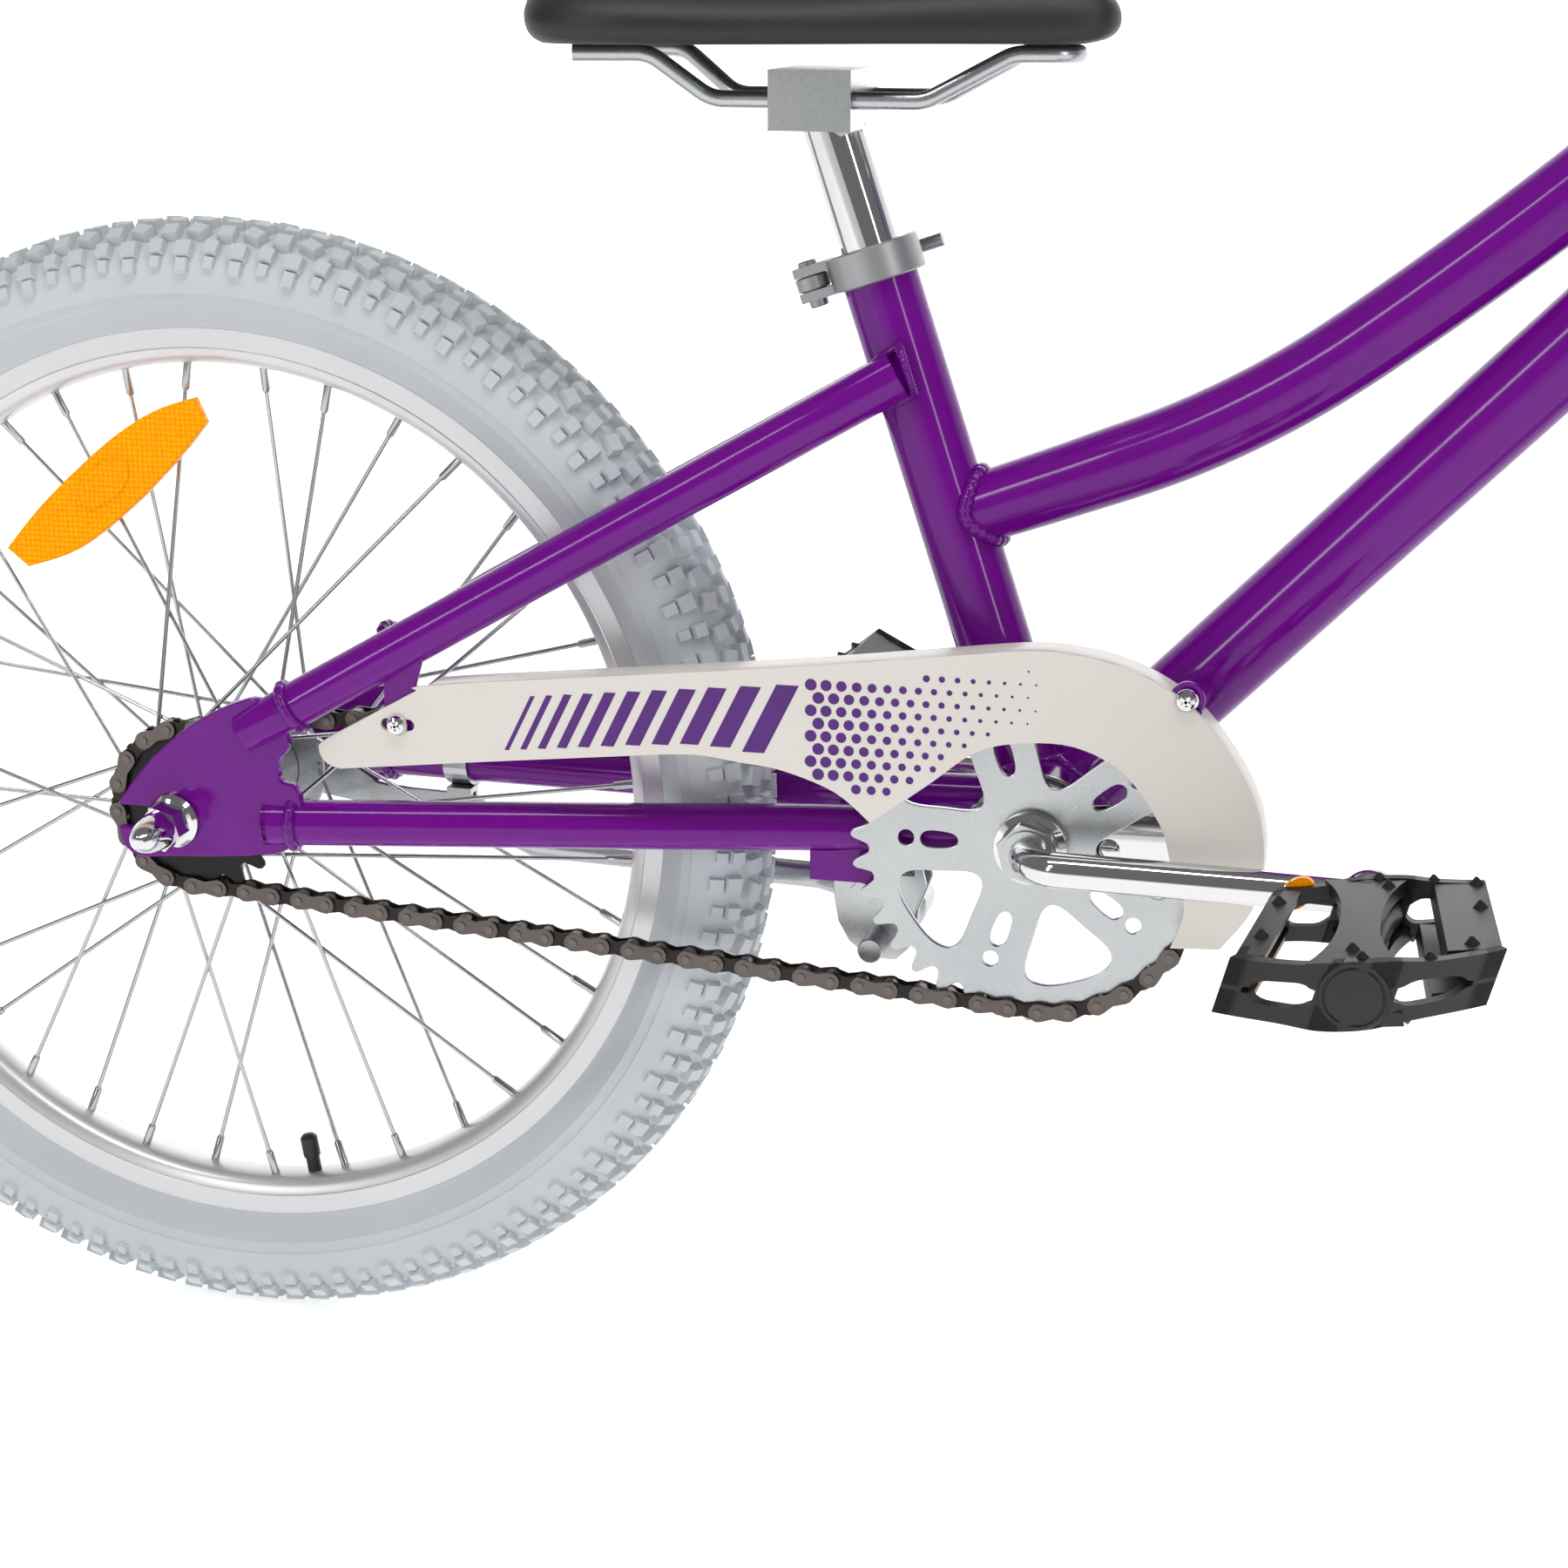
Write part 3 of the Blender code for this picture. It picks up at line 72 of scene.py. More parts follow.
# %% Places on the bicycle
MM = 0.001
TYRE_RADIUS, TYRE_FLATS = 0.255, 48
HALF_WHEELBASE = 0.44
HUB_HEIGHT = TYRE_RADIUS * math.cos(math.pi / TYRE_FLATS)
REAR = Vector((-HALF_WHEELBASE, 0, HUB_HEIGHT))
FRONT = Vector((HALF_WHEELBASE, 0, HUB_HEIGHT))
WHEELS = (("rear", REAR), ("front", FRONT))
SIDES = ((-1, "right"), (1, "left"))
NOWHERE, ACROSS, UP = Vector((0, 0, 0)), Vector((0, 1, 0)), Vector((0, 0, 1))
SEAT_ANGLE = math.radians(71.5)
SEAT_AXIS = Vector((-math.cos(SEAT_ANGLE), 0, math.sin(SEAT_ANGLE)))
SEAT_BACK = Vector((-math.sin(SEAT_ANGLE), 0, -math.cos(SEAT_ANGLE)))
HEAD_ANGLE = math.radians(68.5)
HEAD_AXIS = Vector((-math.cos(HEAD_ANGLE), 0, math.sin(HEAD_ANGLE)))
HEAD_AHEAD = Vector((math.sin(HEAD_ANGLE), 0, math.cos(HEAD_ANGLE)))


def rear(x, y, z):
    return REAR + Vector((x, y, z)) * MM


CRANK_X, CRANK_Z = 375, 10
SHELL = rear(CRANK_X, 0, CRANK_Z)
HEAD = rear(700, 0, 343.5)


def along(point, way, distance):
    return point + way * distance * MM


def offset(point, y):
    return along(point, ACROSS, y)


def up_seat(distance):
    return along(SHELL, SEAT_AXIS, distance)


def up_head(distance, ahead=0.0, y=0.0):
    return HEAD + (HEAD_AXIS * distance + HEAD_AHEAD * ahead + ACROSS * y) * MM


print("rear hub at", [round(c, 4) for c in REAR], "crank axis at", [round(c, 4) for c in SHELL])

# %% [markdown]
# ## Finishes
# Each finish is one Principled shader. A noise in object space, sized in real
# millimetres, varies the roughness and lifts the surface a little, because no
# paint, rubber or plating is perfectly even.


# %% Material helper
def linear(hex_colour):
    """An sRGB hex colour as linear values, with full alpha."""
    values = [int(hex_colour[i : i + 2], 16) / 255 for i in (1, 3, 5)]
    return [v / 12.92 if v <= 0.04045 else ((v + 0.055) / 1.055) ** 2.4 for v in values] + [1]


def add_node(tree, kind, inputs=(), **settings):
    """Adds one node, sets its properties and its unlinked inputs."""
    node = tree.nodes.new(kind)
    for key, value in settings.items():
        setattr(node, key, value)
    for key, value in dict(inputs).items():
        node.inputs[key].default_value = value
    return node


def add_links(tree, *links):
    """Joins an output of one node to an input of another, for each link."""
    for source, output, target, entry in links:
        tree.links.new(source.outputs[output], target.inputs[entry])


MIX_FIRST, MIX_SECOND, MIX_RESULT = 6, 7, 2
BROAD = {"Scale": 18.0, "Detail": 3.0}


def finish(name, colour, second, metal, rough, vary, grain, lift, shine=0.5):
    """Two tones, a roughness that varies, a grain and a lift, both in millimetres."""
    material = bpy.data.materials.new(name)
    material.use_nodes = True
    tree = material.node_tree
    shader = tree.nodes["Principled BSDF"]
    shader.inputs["Metallic"].default_value = metal
    shader.inputs["Specular IOR Level"].default_value = shine
    base = linear(colour)
    other = linear(second) if second else [0.93 * c for c in base[:3]] + [1]
    span = {"To Min": max(rough - vary, 0.0), "To Max": rough + vary}
    place = add_node(tree, "ShaderNodeTexCoord")
    fine = add_node(tree, "ShaderNodeTexNoise", {"Scale": 1000 / grain, "Detail": 4.0})
    broad = add_node(tree, "ShaderNodeTexNoise", BROAD)
    tones = add_node(tree, "ShaderNodeMix", data_type="RGBA")
    tones.inputs[MIX_FIRST].default_value = base
    tones.inputs[MIX_SECOND].default_value = other
    spread = add_node(tree, "ShaderNodeMapRange", span)
    bump = add_node(tree, "ShaderNodeBump", {"Distance": lift * MM, "Strength": 1.0})
    add_links(
        tree,
        (place, "Object", fine, "Vector"),
        (place, "Object", broad, "Vector"),
        (broad, "Fac", tones, 0),
        (tones, MIX_RESULT, shader, "Base Color"),
        (fine, "Fac", spread, "Value"),
        (spread, "Result", shader, "Roughness"),
        (fine, "Fac", bump, "Height"),
        (bump, "Normal", shader, "Normal"),
    )
    return material


print("finish helper ready")

# %% Finishes by their real names
# Gloss enamel: deep colour, smooth enough for long thin highlights.
PAINT = finish("gloss purple enamel", "#6E0A87", "#67087F", 0, 0.11, 0.03, 0.9, 0.0015, 0.27)
# Bead of weld under the same paint: a touch duller.
WELD = finish("painted weld bead", "#690A80", None, 0, 0.16, 0.05, 1.5, 0.02, 0.32)
# Moulded polypropylene: satin, with a faint grain.
GUARD = finish("cream moulded plastic", "#DBD7D1", "#D7D2CB", 0, 0.34, 0.05, 0.6, 0.003, 0.35)
# Printing ink on the guard: flat and thin.
INK = finish("purple screen ink", "#4E0C74", None, 0, 0.45, 0.05, 0.4, 0.002)
# Pale rubber: matt and very slightly dusty.
RUBBER = finish("pale tyre rubber", "#C6CBCE", "#BDC3C7", 0, 0.6, 0.08, 0.5, 0.02, 0.3)
# Machined rim: soft silver.
ALLOY = finish("satin rim alloy", "#D6D6D8", None, 0.6, 0.34, 0.06, 0.25, 0.002)
# Bright plating: mirror-like with hardly any grain.
CHROME = finish("bright chrome plate", "#D9D9DA", None, 1, 0.06, 0.02, 2.0, 0.0006)
# Zinc plating: cooler, blotchy and duller than chrome.
ZINC = finish("zinc plated steel", "#C3C5C6", "#A9ADAF", 1, 0.3, 0.1, 0.8, 0.004)
WIRE = finish("drawn spoke wire", "#B9BABC", None, 1, 0.22, 0.05, 0.4, 0.002)
LINK = finish("dark chain steel", "#6E6763", "#554F4B", 0.9, 0.32, 0.1, 0.7, 0.006)
# Inner plates: coloured much darker than the outer plates.
INNER_LINK = finish("darker inner chain steel", "#3B3734", "#2A2725", 0.9, 0.38, 0.1, 0.7, 0.006)
PIN = finish("burnished chain pin", "#6F6864", None, 1, 0.34, 0.08, 0.6, 0.004)
BLACK = finish("black moulded plastic", "#1B1B1C", None, 0, 0.45, 0.08, 0.5, 0.02)
BLACK_STEEL = finish("black oxide steel", "#202022", None, 0.6, 0.4, 0.08, 0.6, 0.006)
GRIP = finish("soft black grip rubber", "#161617", None, 0, 0.7, 0.06, 0.6, 0.03)
COVER = finish("black saddle vinyl", "#1D1D1F", None, 0, 0.5, 0.06, 0.9, 0.06)
BLASTED = finish("bead blasted alloy", "#A6A6A8", None, 0.9, 0.42, 0.06, 0.35, 0.01)
print("finishes", len(bpy.data.materials))


# %% Amber reflector
def amber_lens():
    """Clear amber over small corner cubes: the cells show as a raised honeycomb with a painted
    glint.
    """
    look = (0, 0.14, 0.03, 1.0, 0.002, 0.05)
    material = finish("amber reflector lens", "#F08600", "#E87E00", *look)
    tree = material.node_tree
    shader = tree.nodes["Principled BSDF"]
    # Painted glow: the lens gives off a little light of its own, coloured like its painted glints.
    shader.inputs["Emission Strength"].default_value = 0.12
    place = add_node(tree, "ShaderNodeTexCoord")
    cells = add_node(tree, "ShaderNodeTexVoronoi", {"Scale": 420.0, "Randomness": 0.15})
    bump = add_node(tree, "ShaderNodeBump", {"Distance": 0.5 * MM, "Strength": 0.8})
    # Painted glint: brighter yellow at the middle of each cell, deeper amber towards its rim.
    facet_glint = add_node(tree, "ShaderNodeMix", data_type="RGBA")
    facet_glint.inputs[MIX_FIRST].default_value = linear("#FFBC08")
    facet_glint.inputs[MIX_SECOND].default_value = linear("#F08C00")
    deep = add_node(tree, "ShaderNodeMapRange", {"From Max": 0.6})
    add_links(
        tree,
        (place, "Object", cells, "Vector"),
        (cells, "Distance", bump, "Height"),
        (cells, "Distance", deep, "Value"),
        (deep, "Result", facet_glint, 0),
        (facet_glint, MIX_RESULT, shader, "Base Color"),
        (facet_glint, MIX_RESULT, shader, "Emission Color"),
        (bump, "Normal", shader, "Normal"),
    )
    return material


AMBER = amber_lens()
print("made", AMBER.name)

# %% [markdown]
# ## Small modelling kit
# A swept tube for everything drawn from round stock, a lathe for everything
# turned, and a flat plate with a softened edge for everything pressed or cut.


# %% Pieces
def linked(name, data):
    """An object for the data, in the scene."""
    obj = bpy.data.objects.new(name, data)
    bpy.context.scene.collection.objects.link(obj)
    return obj


def baked(obj):
    """The object's evaluated form as a plain mesh; the object itself goes."""
    bpy.context.view_layer.update()
    graph = bpy.context.evaluated_depsgraph_get()
    mesh = bpy.data.meshes.new_from_object(obj.evaluated_get(graph))
    bpy.data.objects.remove(obj)
    return mesh


def dressed(name, mesh, material, sharp):
    """An object for the mesh: one finish, smooth shading split at sharp edges."""
    mesh.materials.clear()
    mesh.materials.append(material)
    mesh.shade_smooth()
    mesh.set_sharp_from_angle(angle=math.radians(sharp))
    return linked(name, mesh)


def new_piece(name, work, material, sharp=40):
    """An object from a bmesh, with its faces turned outward."""
    bmesh.ops.recalc_face_normals(work, faces=work.faces)
    mesh = bpy.data.meshes.new(name)
    work.to_mesh(mesh)
    work.free()
    return dressed(name, mesh, material, sharp)


def wear(obj, body, slot, *nodes):
    """Hangs a finished piece on its body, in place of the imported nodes."""
    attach(obj, body)
    if nodes:
        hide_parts(*nodes)


@contextmanager
def piece(name, material, body, slot, *nodes, sharp=30):
    """Gives a bmesh to fill, then makes a piece of it and hangs it on its body."""
    work = bmesh.new()
    yield work
    wear(new_piece(name, work, material, sharp), body, slot, *nodes)


print("pieces can be made and hung")


# %% Round shapes
def circle(centre, u, v, radius, count):
    """Points of a circle in space, from u towards v."""
    turns = [2 * math.pi * k / count for k in range(count)]
    return [centre + (u * math.cos(t) + v * math.sin(t)) * radius for t in turns]


def skin(work, rows, closed=False, capped=True):
    """Joins each row of vertices to the next, and caps the ends of an open form."""
    for a, b in zip(rows, rows[1:] + rows[:1] if closed else rows[1:]):
        for k in range(len(a)):
            n = (k + 1) % len(a)
            corners = list(dict.fromkeys((a[k], a[n], b[n], b[k])))
            if len(corners) > 2:
                work.faces.new(corners)
    if capped and not closed:
        work.faces.new(rows[0][::-1])
        work.faces.new(rows[-1])


def sweep(work, path, radius, sides, radii=None, closed=False):
    """Sweeps a circle along points, carrying its frame from one to the next."""
    last = len(path) - 1
    rows = []
    normal = None
    for i, point in enumerate(path):
        before = path[i - 1] if i or closed else point
        after = path[(i + 1) % len(path)] if i < last or closed else point
        way = (after - before).normalized()
        if normal is None:
            normal = way.orthogonal().normalized()
        normal = (normal - way * normal.dot(way)).normalized()
        size = radius * MM * (radii[i] if radii else 1.0)
        spots = circle(point, normal, way.cross(normal), size, sides)
        rows.append([work.verts.new(spot) for spot in spots])
    skin(work, rows, closed)


def lathe(work, profile, centre, axis, steps):
    """Turns (radius, height) points about an axis; a form that meets the axis stays open."""
    turn = UP.rotation_difference(axis)
    angles = [2 * math.pi * (k + 0.5) / steps for k in range(steps)]
    rows = []
    for r, height in profile:
        if r == 0:
            rows.append([work.verts.new(centre + turn @ Vector((0, 0, height * MM)))] * steps)
            continue
        spots = [Vector((r * math.cos(a), r * math.sin(a), height)) * MM for a in angles]
        rows.append([work.verts.new(centre + turn @ spot) for spot in spots])
    skin(work, rows, all(r for r, _ in profile), False)


def pipe(bore, radius, high, low):
    """The profile of a plain pipe, or of a plain rod when its bore is zero."""
    return [(bore, high), (radius, high), (radius, low), (bore, low)]


print("sweep and lathe ready")


# %% Flat shapes
def curve_through(points, steps, closed=False):
    """A smooth chain of points through the given ones."""
    last = len(points) - 1
    result = []
    for i in range(last + 1 if closed else last):
        p0, p1 = points[i - 1 if i or closed else 0], points[i]
        p2 = points[(i + 1) % len(points)]
        p3 = points[(i + 2) % len(points) if closed else min(i + 2, last)]
        for k in range(steps):
            t = k / steps
            result.append(tuple(
                0.5 * (2 * b + (c - a) * t + (2 * a - 5 * b + 4 * c - d) * t * t
                       + (3 * b - a - 3 * c + d) * t ** 3)
                for a, b, c, d in zip(p0, p1, p2, p3)
            ))
    return result if closed else result + [points[-1]]


def plate(work, outline, thick, y, holes=(), soft=0.4, centre=REAR):
    """A flat plate of (x, z) points about a centre, y its middle plane, with a soft edge."""
    data = bpy.data.curves.new("outline", "CURVE")
    data.dimensions = "2D"
    data.fill_mode = "BOTH"
    data.extrude = (thick / 2 - soft) * MM
    data.bevel_depth = soft * MM
    data.bevel_resolution = 1
    data.offset = -soft * MM
    for loop in [outline, *holes]:
        spline = data.splines.new("POLY")
        spline.points.add(len(loop) - 1)
        for point, (x, z) in zip(spline.points, loop):
            point.co = (x * MM, z * MM, 0, 1)
        spline.use_cyclic_u = True
    mesh = baked(linked("outline", data))
    upright = Matrix.Rotation(math.pi / 2, 4, "X")
    mesh.transform(Matrix.Translation(along(centre, ACROSS, y)) @ upright)
    work.from_mesh(mesh)
    bpy.data.meshes.remove(mesh)


def box(work, size, centre, turn=None, taper=1.0):
    """A box in millimetres about a point; taper shrinks its upper face."""
    long, wide, tall = Vector(size) * MM
    place = Matrix.Translation(centre) @ (turn or Matrix.Identity(4))
    for vert in bmesh.ops.create_cube(work, size=1)["verts"]:
        x, y, z = vert.co
        scale = taper if z > 0 else 1.0
        vert.co = place @ Vector((x * long * scale, y * wide * scale, z * tall))


def ring(radius, count, x=0.0, z=0.0):
    """Points of a circle as (x, z)."""
    angles = [2 * math.pi * i / count for i in range(count)]
    return [(x + radius * math.cos(a), z + radius * math.sin(a)) for a in angles]


print("plate and box ready")

# %% [markdown]
# ## Copies by Geometry Nodes
# Spokes, knobs, links and studs repeat one form many times. A small node group
# takes points that carry a turn, sets a copy of the item on each and makes the
# copies real.


# %% Copying group
def copying_group():
    group = bpy.data.node_groups.new("set copies on points", "GeometryNodeTree")
    sockets = (("Points", "INPUT", "Geometry"), ("Item", "INPUT", "Object"),
               ("Copies", "OUTPUT", "Geometry"))
    for name, way, kind in sockets:
        group.interface.new_socket(name, in_out=way, socket_type="NodeSocket" + kind)
    start = add_node(group, "NodeGroupInput")
    end = add_node(group, "NodeGroupOutput")
    item = add_node(group, "GeometryNodeObjectInfo", transform_space="ORIGINAL")
    turn = add_node(group, "GeometryNodeInputNamedAttribute", {"Name": "turn"},
                    data_type="FLOAT_VECTOR")
    rotation = add_node(group, "FunctionNodeEulerToRotation")
    spread = add_node(group, "GeometryNodeInstanceOnPoints")
    real = add_node(group, "GeometryNodeRealizeInstances")
    add_links(
        group,
        (start, "Item", item, "Object"),
        (turn, "Attribute", rotation, "Euler"),
        (start, "Points", spread, "Points"),
        (item, "Geometry", spread, "Instance"),
        (rotation, "Rotation", spread, "Rotation"),
        (spread, "Instances", real, "Geometry"),
        (real, "Geometry", end, "Copies"),
    )
    return group


COPYING = copying_group()
ITEM = next(entry.identifier for entry in COPYING.interface.items_tree if entry.name == "Item")


def copies(name, item, places, material, sharp=40):
    """Sets the item on each (point, Euler turn) and returns one plain mesh object."""
    mesh = bpy.data.meshes.new(name + " points")
    mesh.from_pydata([point for point, _ in places], [], [])
    turns = mesh.attributes.new("turn", "FLOAT_VECTOR", "POINT")
    for entry, (_, turn) in zip(turns.data, places):
        entry.vector = turn
    carrier = linked(name + " points", mesh)
    modifier = carrier.modifiers.new("copies", "NODES")
    modifier.node_group = COPYING
    modifier[ITEM] = item
    plain = baked(carrier)
    bpy.data.objects.remove(item)
    plain.name = name
    return dressed(name, plain, material, sharp)


def around(centre, count, start=0.0):
    """Places for copies that turn about an axle: the item is modelled at angle zero."""
    return [(centre, (0, -(start + 2 * math.pi * i / count), 0)) for i in range(count)]


print("node group", COPYING.name)

# %% [markdown]
# ## Frame
# The frame is steel tube, mitred and welded, then sprayed as one. The tubes
# run into each other here, and a rippled bead covers each joint like the row
# of small overlapping pools that a welder leaves.

# %% Frame tubes
SEAT_R, HEAD_R, SHELL_R, TOP_R, DOWN_R, STAY_R = 15.9, 19.5, 28.5, 15.9, 18.35, 10
LUG_Y, FRONT_SCREW, REAR_SCREW = -56.2, (438, 80), (104, 48.5)
TOP = [(331.5, 137.7), (388, 158.5), (430.5, 175.8), (471, 198), (511, 226.5), (562, 267)]
TOP += [(620, 317), (686.4, 377.9)]
TOP_LINE = [rear(x, 0, z) for x, z in curve_through(TOP, 8)]
LOW_PLAN = [(44, 60.0), (48, 59.5), (120, 50.5), (200, 40.5), (270, 31), (300, 28.6), (372, 26.5)]
HIGH_PLAN = [(34, 61.2), (50, 60.5), (81, 57), (119, 51), (157, 45), (194, 40), (274, 30)]
HIGH_PLAN += [(312, 22.5)]


def stay(plan, side, x0, z0, slope):
    """A stay's line from its plan points (x, y) and its slope in side view."""
    return [rear(x, side * y, z0 + slope * (x - x0)) for x, y in curve_through(plan, 4)]


LOW_STAY = {side: stay(LOW_PLAN, side, 48, 1, 0.0265) for side, _ in SIDES}
HIGH_STAY = {side: stay(HIGH_PLAN, side, 119.5, 89.6, 0.5694) for side, _ in SIDES}
BORED = {
    "seat_tube": (pipe(13, SEAT_R, 252, 0), SHELL, SEAT_AXIS),
    "head_tube": (pipe(16.5, HEAD_R, 66, -30), HEAD, HEAD_AXIS),
    "bottom_bracket_shell": (pipe(25.5, SHELL_R, 33, -33), SHELL, ACROSS),
}
# Each drawn tube: its line, its radius, how thin it starts and how fast it grows.
DRAWN = {
    "down_tube": ([SHELL, HEAD], DOWN_R, 1, 0),
    "top_tube": (TOP_LINE, TOP_R, 0.92, 0.008),
    "chainstay_right": (LOW_STAY[-1], STAY_R, 1, 0),
    "seatstay_right": (HIGH_STAY[-1], STAY_R, 0.85, 0.03),
    "chainstay_left": (LOW_STAY[1], STAY_R, 1, 0),
    "seatstay_left": (HIGH_STAY[1][4:], STAY_R, 0.6, 0.06),
}
for node in (*BORED, *DRAWN):
    with piece("painted_" + node, PAINT, "frame", "frame_paint", node, sharp=40) as work:
        if node in BORED:
            lathe(work, *BORED[node], 64)
        else:
            path, radius, first, gain = DRAWN[node]
            sweep(work, path, radius, 48, [min(1.0, first + gain * i) for i in range(len(path))])
        # Two of the tubes carry a lug for the chain guard's screw.
        if node == "seatstay_right":
            plate(work, [(97, 42), (111, 42), (112, 66), (118, 86), (98, 76)], 3, LUG_Y)
        if node == "down_tube":
            box(work, (12, 46, 4), rear(438, -34.7, 76))
            plate(work, ring(7, 24, *FRONT_SCREW), 3, LUG_Y)
print("tubes", len(BORED) + len(DRAWN))


# %% Weld beads
def meeting(start, way, radius, target, axis, other):
    """The closed line where a round tube running along way enters another round tube."""
    way = way.normalized()
    u = way.orthogonal().normalized()
    d = way - axis * axis.dot(way)
    points = []
    for origin in circle(start, u, way.cross(u), radius * MM, 120):
        w = origin - target
        w = w - axis * axis.dot(w)
        a, b, c = d.dot(d), 2 * d.dot(w), w.dot(w) - (other * MM) ** 2
        root = math.sqrt(max(b * b - 4 * a * c, 0.0))
        points.append(origin + way * (-b - root) / (2 * a))
    return points


def collar(centre, way, radius):
    """The line round a tube, where its end is welded to a plate."""
    u = way.orthogonal().normalized()
    return circle(centre, u, way.normalized().cross(u), radius * MM, 60)


def bead(work, line, radius):
    ripple = [1 + 0.09 * math.cos(2 * math.pi * i / 4) for i in range(len(line))]
    sweep(work, line, radius, 10, ripple, True)


BEADS = [
    (meeting(TOP_LINE[6], TOP_LINE[0] - TOP_LINE[4], 14.9, SHELL, SEAT_AXIS, 16.9), 3.0),
    (meeting(HEAD, SHELL - HEAD, DOWN_R, SHELL, ACROSS, SHELL_R), 2.3),
    (meeting(SHELL, HEAD - SHELL, DOWN_R, HEAD, HEAD_AXIS, HEAD_R), 2.3),
    (meeting(up_seat(200), -SEAT_AXIS, SEAT_R, SHELL, ACROSS, SHELL_R), 2.3),
    (meeting(TOP_LINE[-6], TOP_LINE[-1] - TOP_LINE[-4], TOP_R, HEAD, HEAD_AXIS, HEAD_R), 2.3),
]
for low, high in zip(LOW_STAY.values(), HIGH_STAY.values()):
    BEADS += [
        (meeting(low[-6], low[-1] - low[-4], STAY_R, SHELL, ACROSS, SHELL_R), 2.0),
        (meeting(high[-8], high[-1] - high[-4], STAY_R, SHELL, SEAT_AXIS, SEAT_R), 2.0),
        (collar(low[4].lerp(low[5], 0.5), low[5] - low[4], 10.3), 2.4),
        (collar(high[5], high[6] - high[5], 10.1), 2.4),
    ]
with piece("weld_beads", WELD, "frame", "frame_paint", sharp=80) as work:
    for line, radius in BEADS:
        bead(work, line, radius)
print("beads laid")

# %% Rear dropouts and kickstand plate
COVER_PLATE = [(-27, 5.05), (-20, 14.8), (-11, 25.5), (-2, 33.8), (8, 42), (19, 48.8), (30, 54)]
COVER_PLATE += [(42, 57), (53, 48), (55, 36), (50.5, 30), (50.5, 21), (58, 18), (60, 4), (56, -7)]
COVER_PLATE += [(48, -12), (40, -13.3), (20, -15.6), (-1, -17), (-18, -18), (-25, -13)]
COVER_PLATE += [(-27, -5.05)]
PLAIN_PLATE = [(-26, 5.05), (-22, 11), (-8, 17), (12, 21), (30, 27), (42, 36), (50, 44), (58, 43)]
PLAIN_PLATE += [(60, 30), (60, 12), (54, -8), (46, -13), (20, -15.5), (-8, -16), (-20, -13)]
PLAIN_PLATE += [(-26, -5.05)]
DROPOUT_Y = 61.5
SLOT = [(1.5, -5.05), (5, -3.6), (6.55, 0), (5, 3.6), (1.5, 5.05)]
for (side, word), edge in zip(SIDES, (COVER_PLATE, PLAIN_PLATE)):
    node = "dropout_" + word
    with piece("painted_" + node, PAINT, "frame", "frame_paint", node, sharp=40) as work:
        plate(work, curve_through(edge, 4) + SLOT, 5, side * DROPOUT_Y, soft=0.7)
frame["nodes"]["kickstand_plate"].data.materials[0] = PAINT
print("dropouts")

# %% [markdown]
# ## Wheels
# A tyre is a moulded carcass with raised rubber blocks. The blocks of one pitch
# are modelled once on the carcass and set round the wheel by the node group.

# %% Tyres
BELT, WIDE, TALL = 229.5, 24.6, 21.0
PITCHES = 60
ROOT = 1.2


def carcass(degrees):
    """A point of the tyre's section and its outward normal, in (radius, y)."""
    a = math.radians(degrees)
    normal = Vector((math.cos(a) / TALL, math.sin(a) / WIDE)).normalized()
    return Vector((BELT + TALL * math.cos(a), WIDE * math.sin(a))), normal


def mirrored(half, middle=()):
    """A profile whose second half repeats the first on the other side."""
    return [*half, *middle, *((r, -y) for r, y in reversed(half))]


FOOT = [(206, -9), (208, -13.0), (211.5, -15.2), (214, -18.6), (218.2, -21.6), (219, -22.6)]
FOOT += [(223.4, -23.7), (224, -24.4)]
SECTION = mirrored(FOOT, [tuple(carcass(a)[0]) for a in range(-90, 91, 6)])
# Each block: degrees from the crown, stagger, ahead, length, width, height, skew.
BLOCKS = (
    (9, 3.0, 0, 9.5, 7.0, 3.8, 0.25),
    (10, 3.0, 13, 8.0, 6.0, 3.6, -0.2),
    (31, 0, -3.0, 9.5, 7.5, 4.2, 0.35),
    (33, 0, 9.5, 8.0, 8.5, 4.0, -0.1),
    (55, 0, 1.0, 8.5, 8.0, 3.6, 0),
    (53, 0, 13.5, 7.0, 7.0, 3.4, 0),
    (73, 0, 1.0, 6.0, 7.5, 2.2, 0),
    (70, 0, 13.5, 5.0, 6.0, 1.8, 0),
)


def tread_item():
    """The blocks of one pitch: length runs round the tyre, width across it."""
    work = bmesh.new()
    for s in (-1, 1):
        for degrees, stagger, ahead, length, width, height, skew in BLOCKS:
            point, normal = carcass(s * degrees)
            out = normal.to_3d()
            turn = Matrix((UP, out.cross(UP), out)).transposed().to_4x4()
            turn = turn @ Matrix.Rotation(s * skew, 4, "Z")
            at = point.to_3d() + out * (height / 2 - ROOT) + UP * (s * stagger + ahead)
            box(work, (length, width, height + 2 * ROOT), at * MM, turn, 0.82)
    return new_piece("tread item", work, RUBBER)


for word, centre in WHEELS:
    body = word + "_wheel"
    with piece(word + "_tyre_carcass", RUBBER, body, "tyre_rubber", word + "_tyre") as work:
        lathe(work, SECTION, centre, ACROSS, 180)
    knobs = copies(word + "_tyre_knobs", tread_item(), around(centre, PITCHES), RUBBER, 30)
    wear(knobs, body, "tyre_rubber")
print("tyres with", PITCHES, "pitches of blocks each")

# %% [markdown]
# A rim is extruded, rolled into a hoop and machined on its sides. The two thin
# grooves mark where the flat brake track ends.

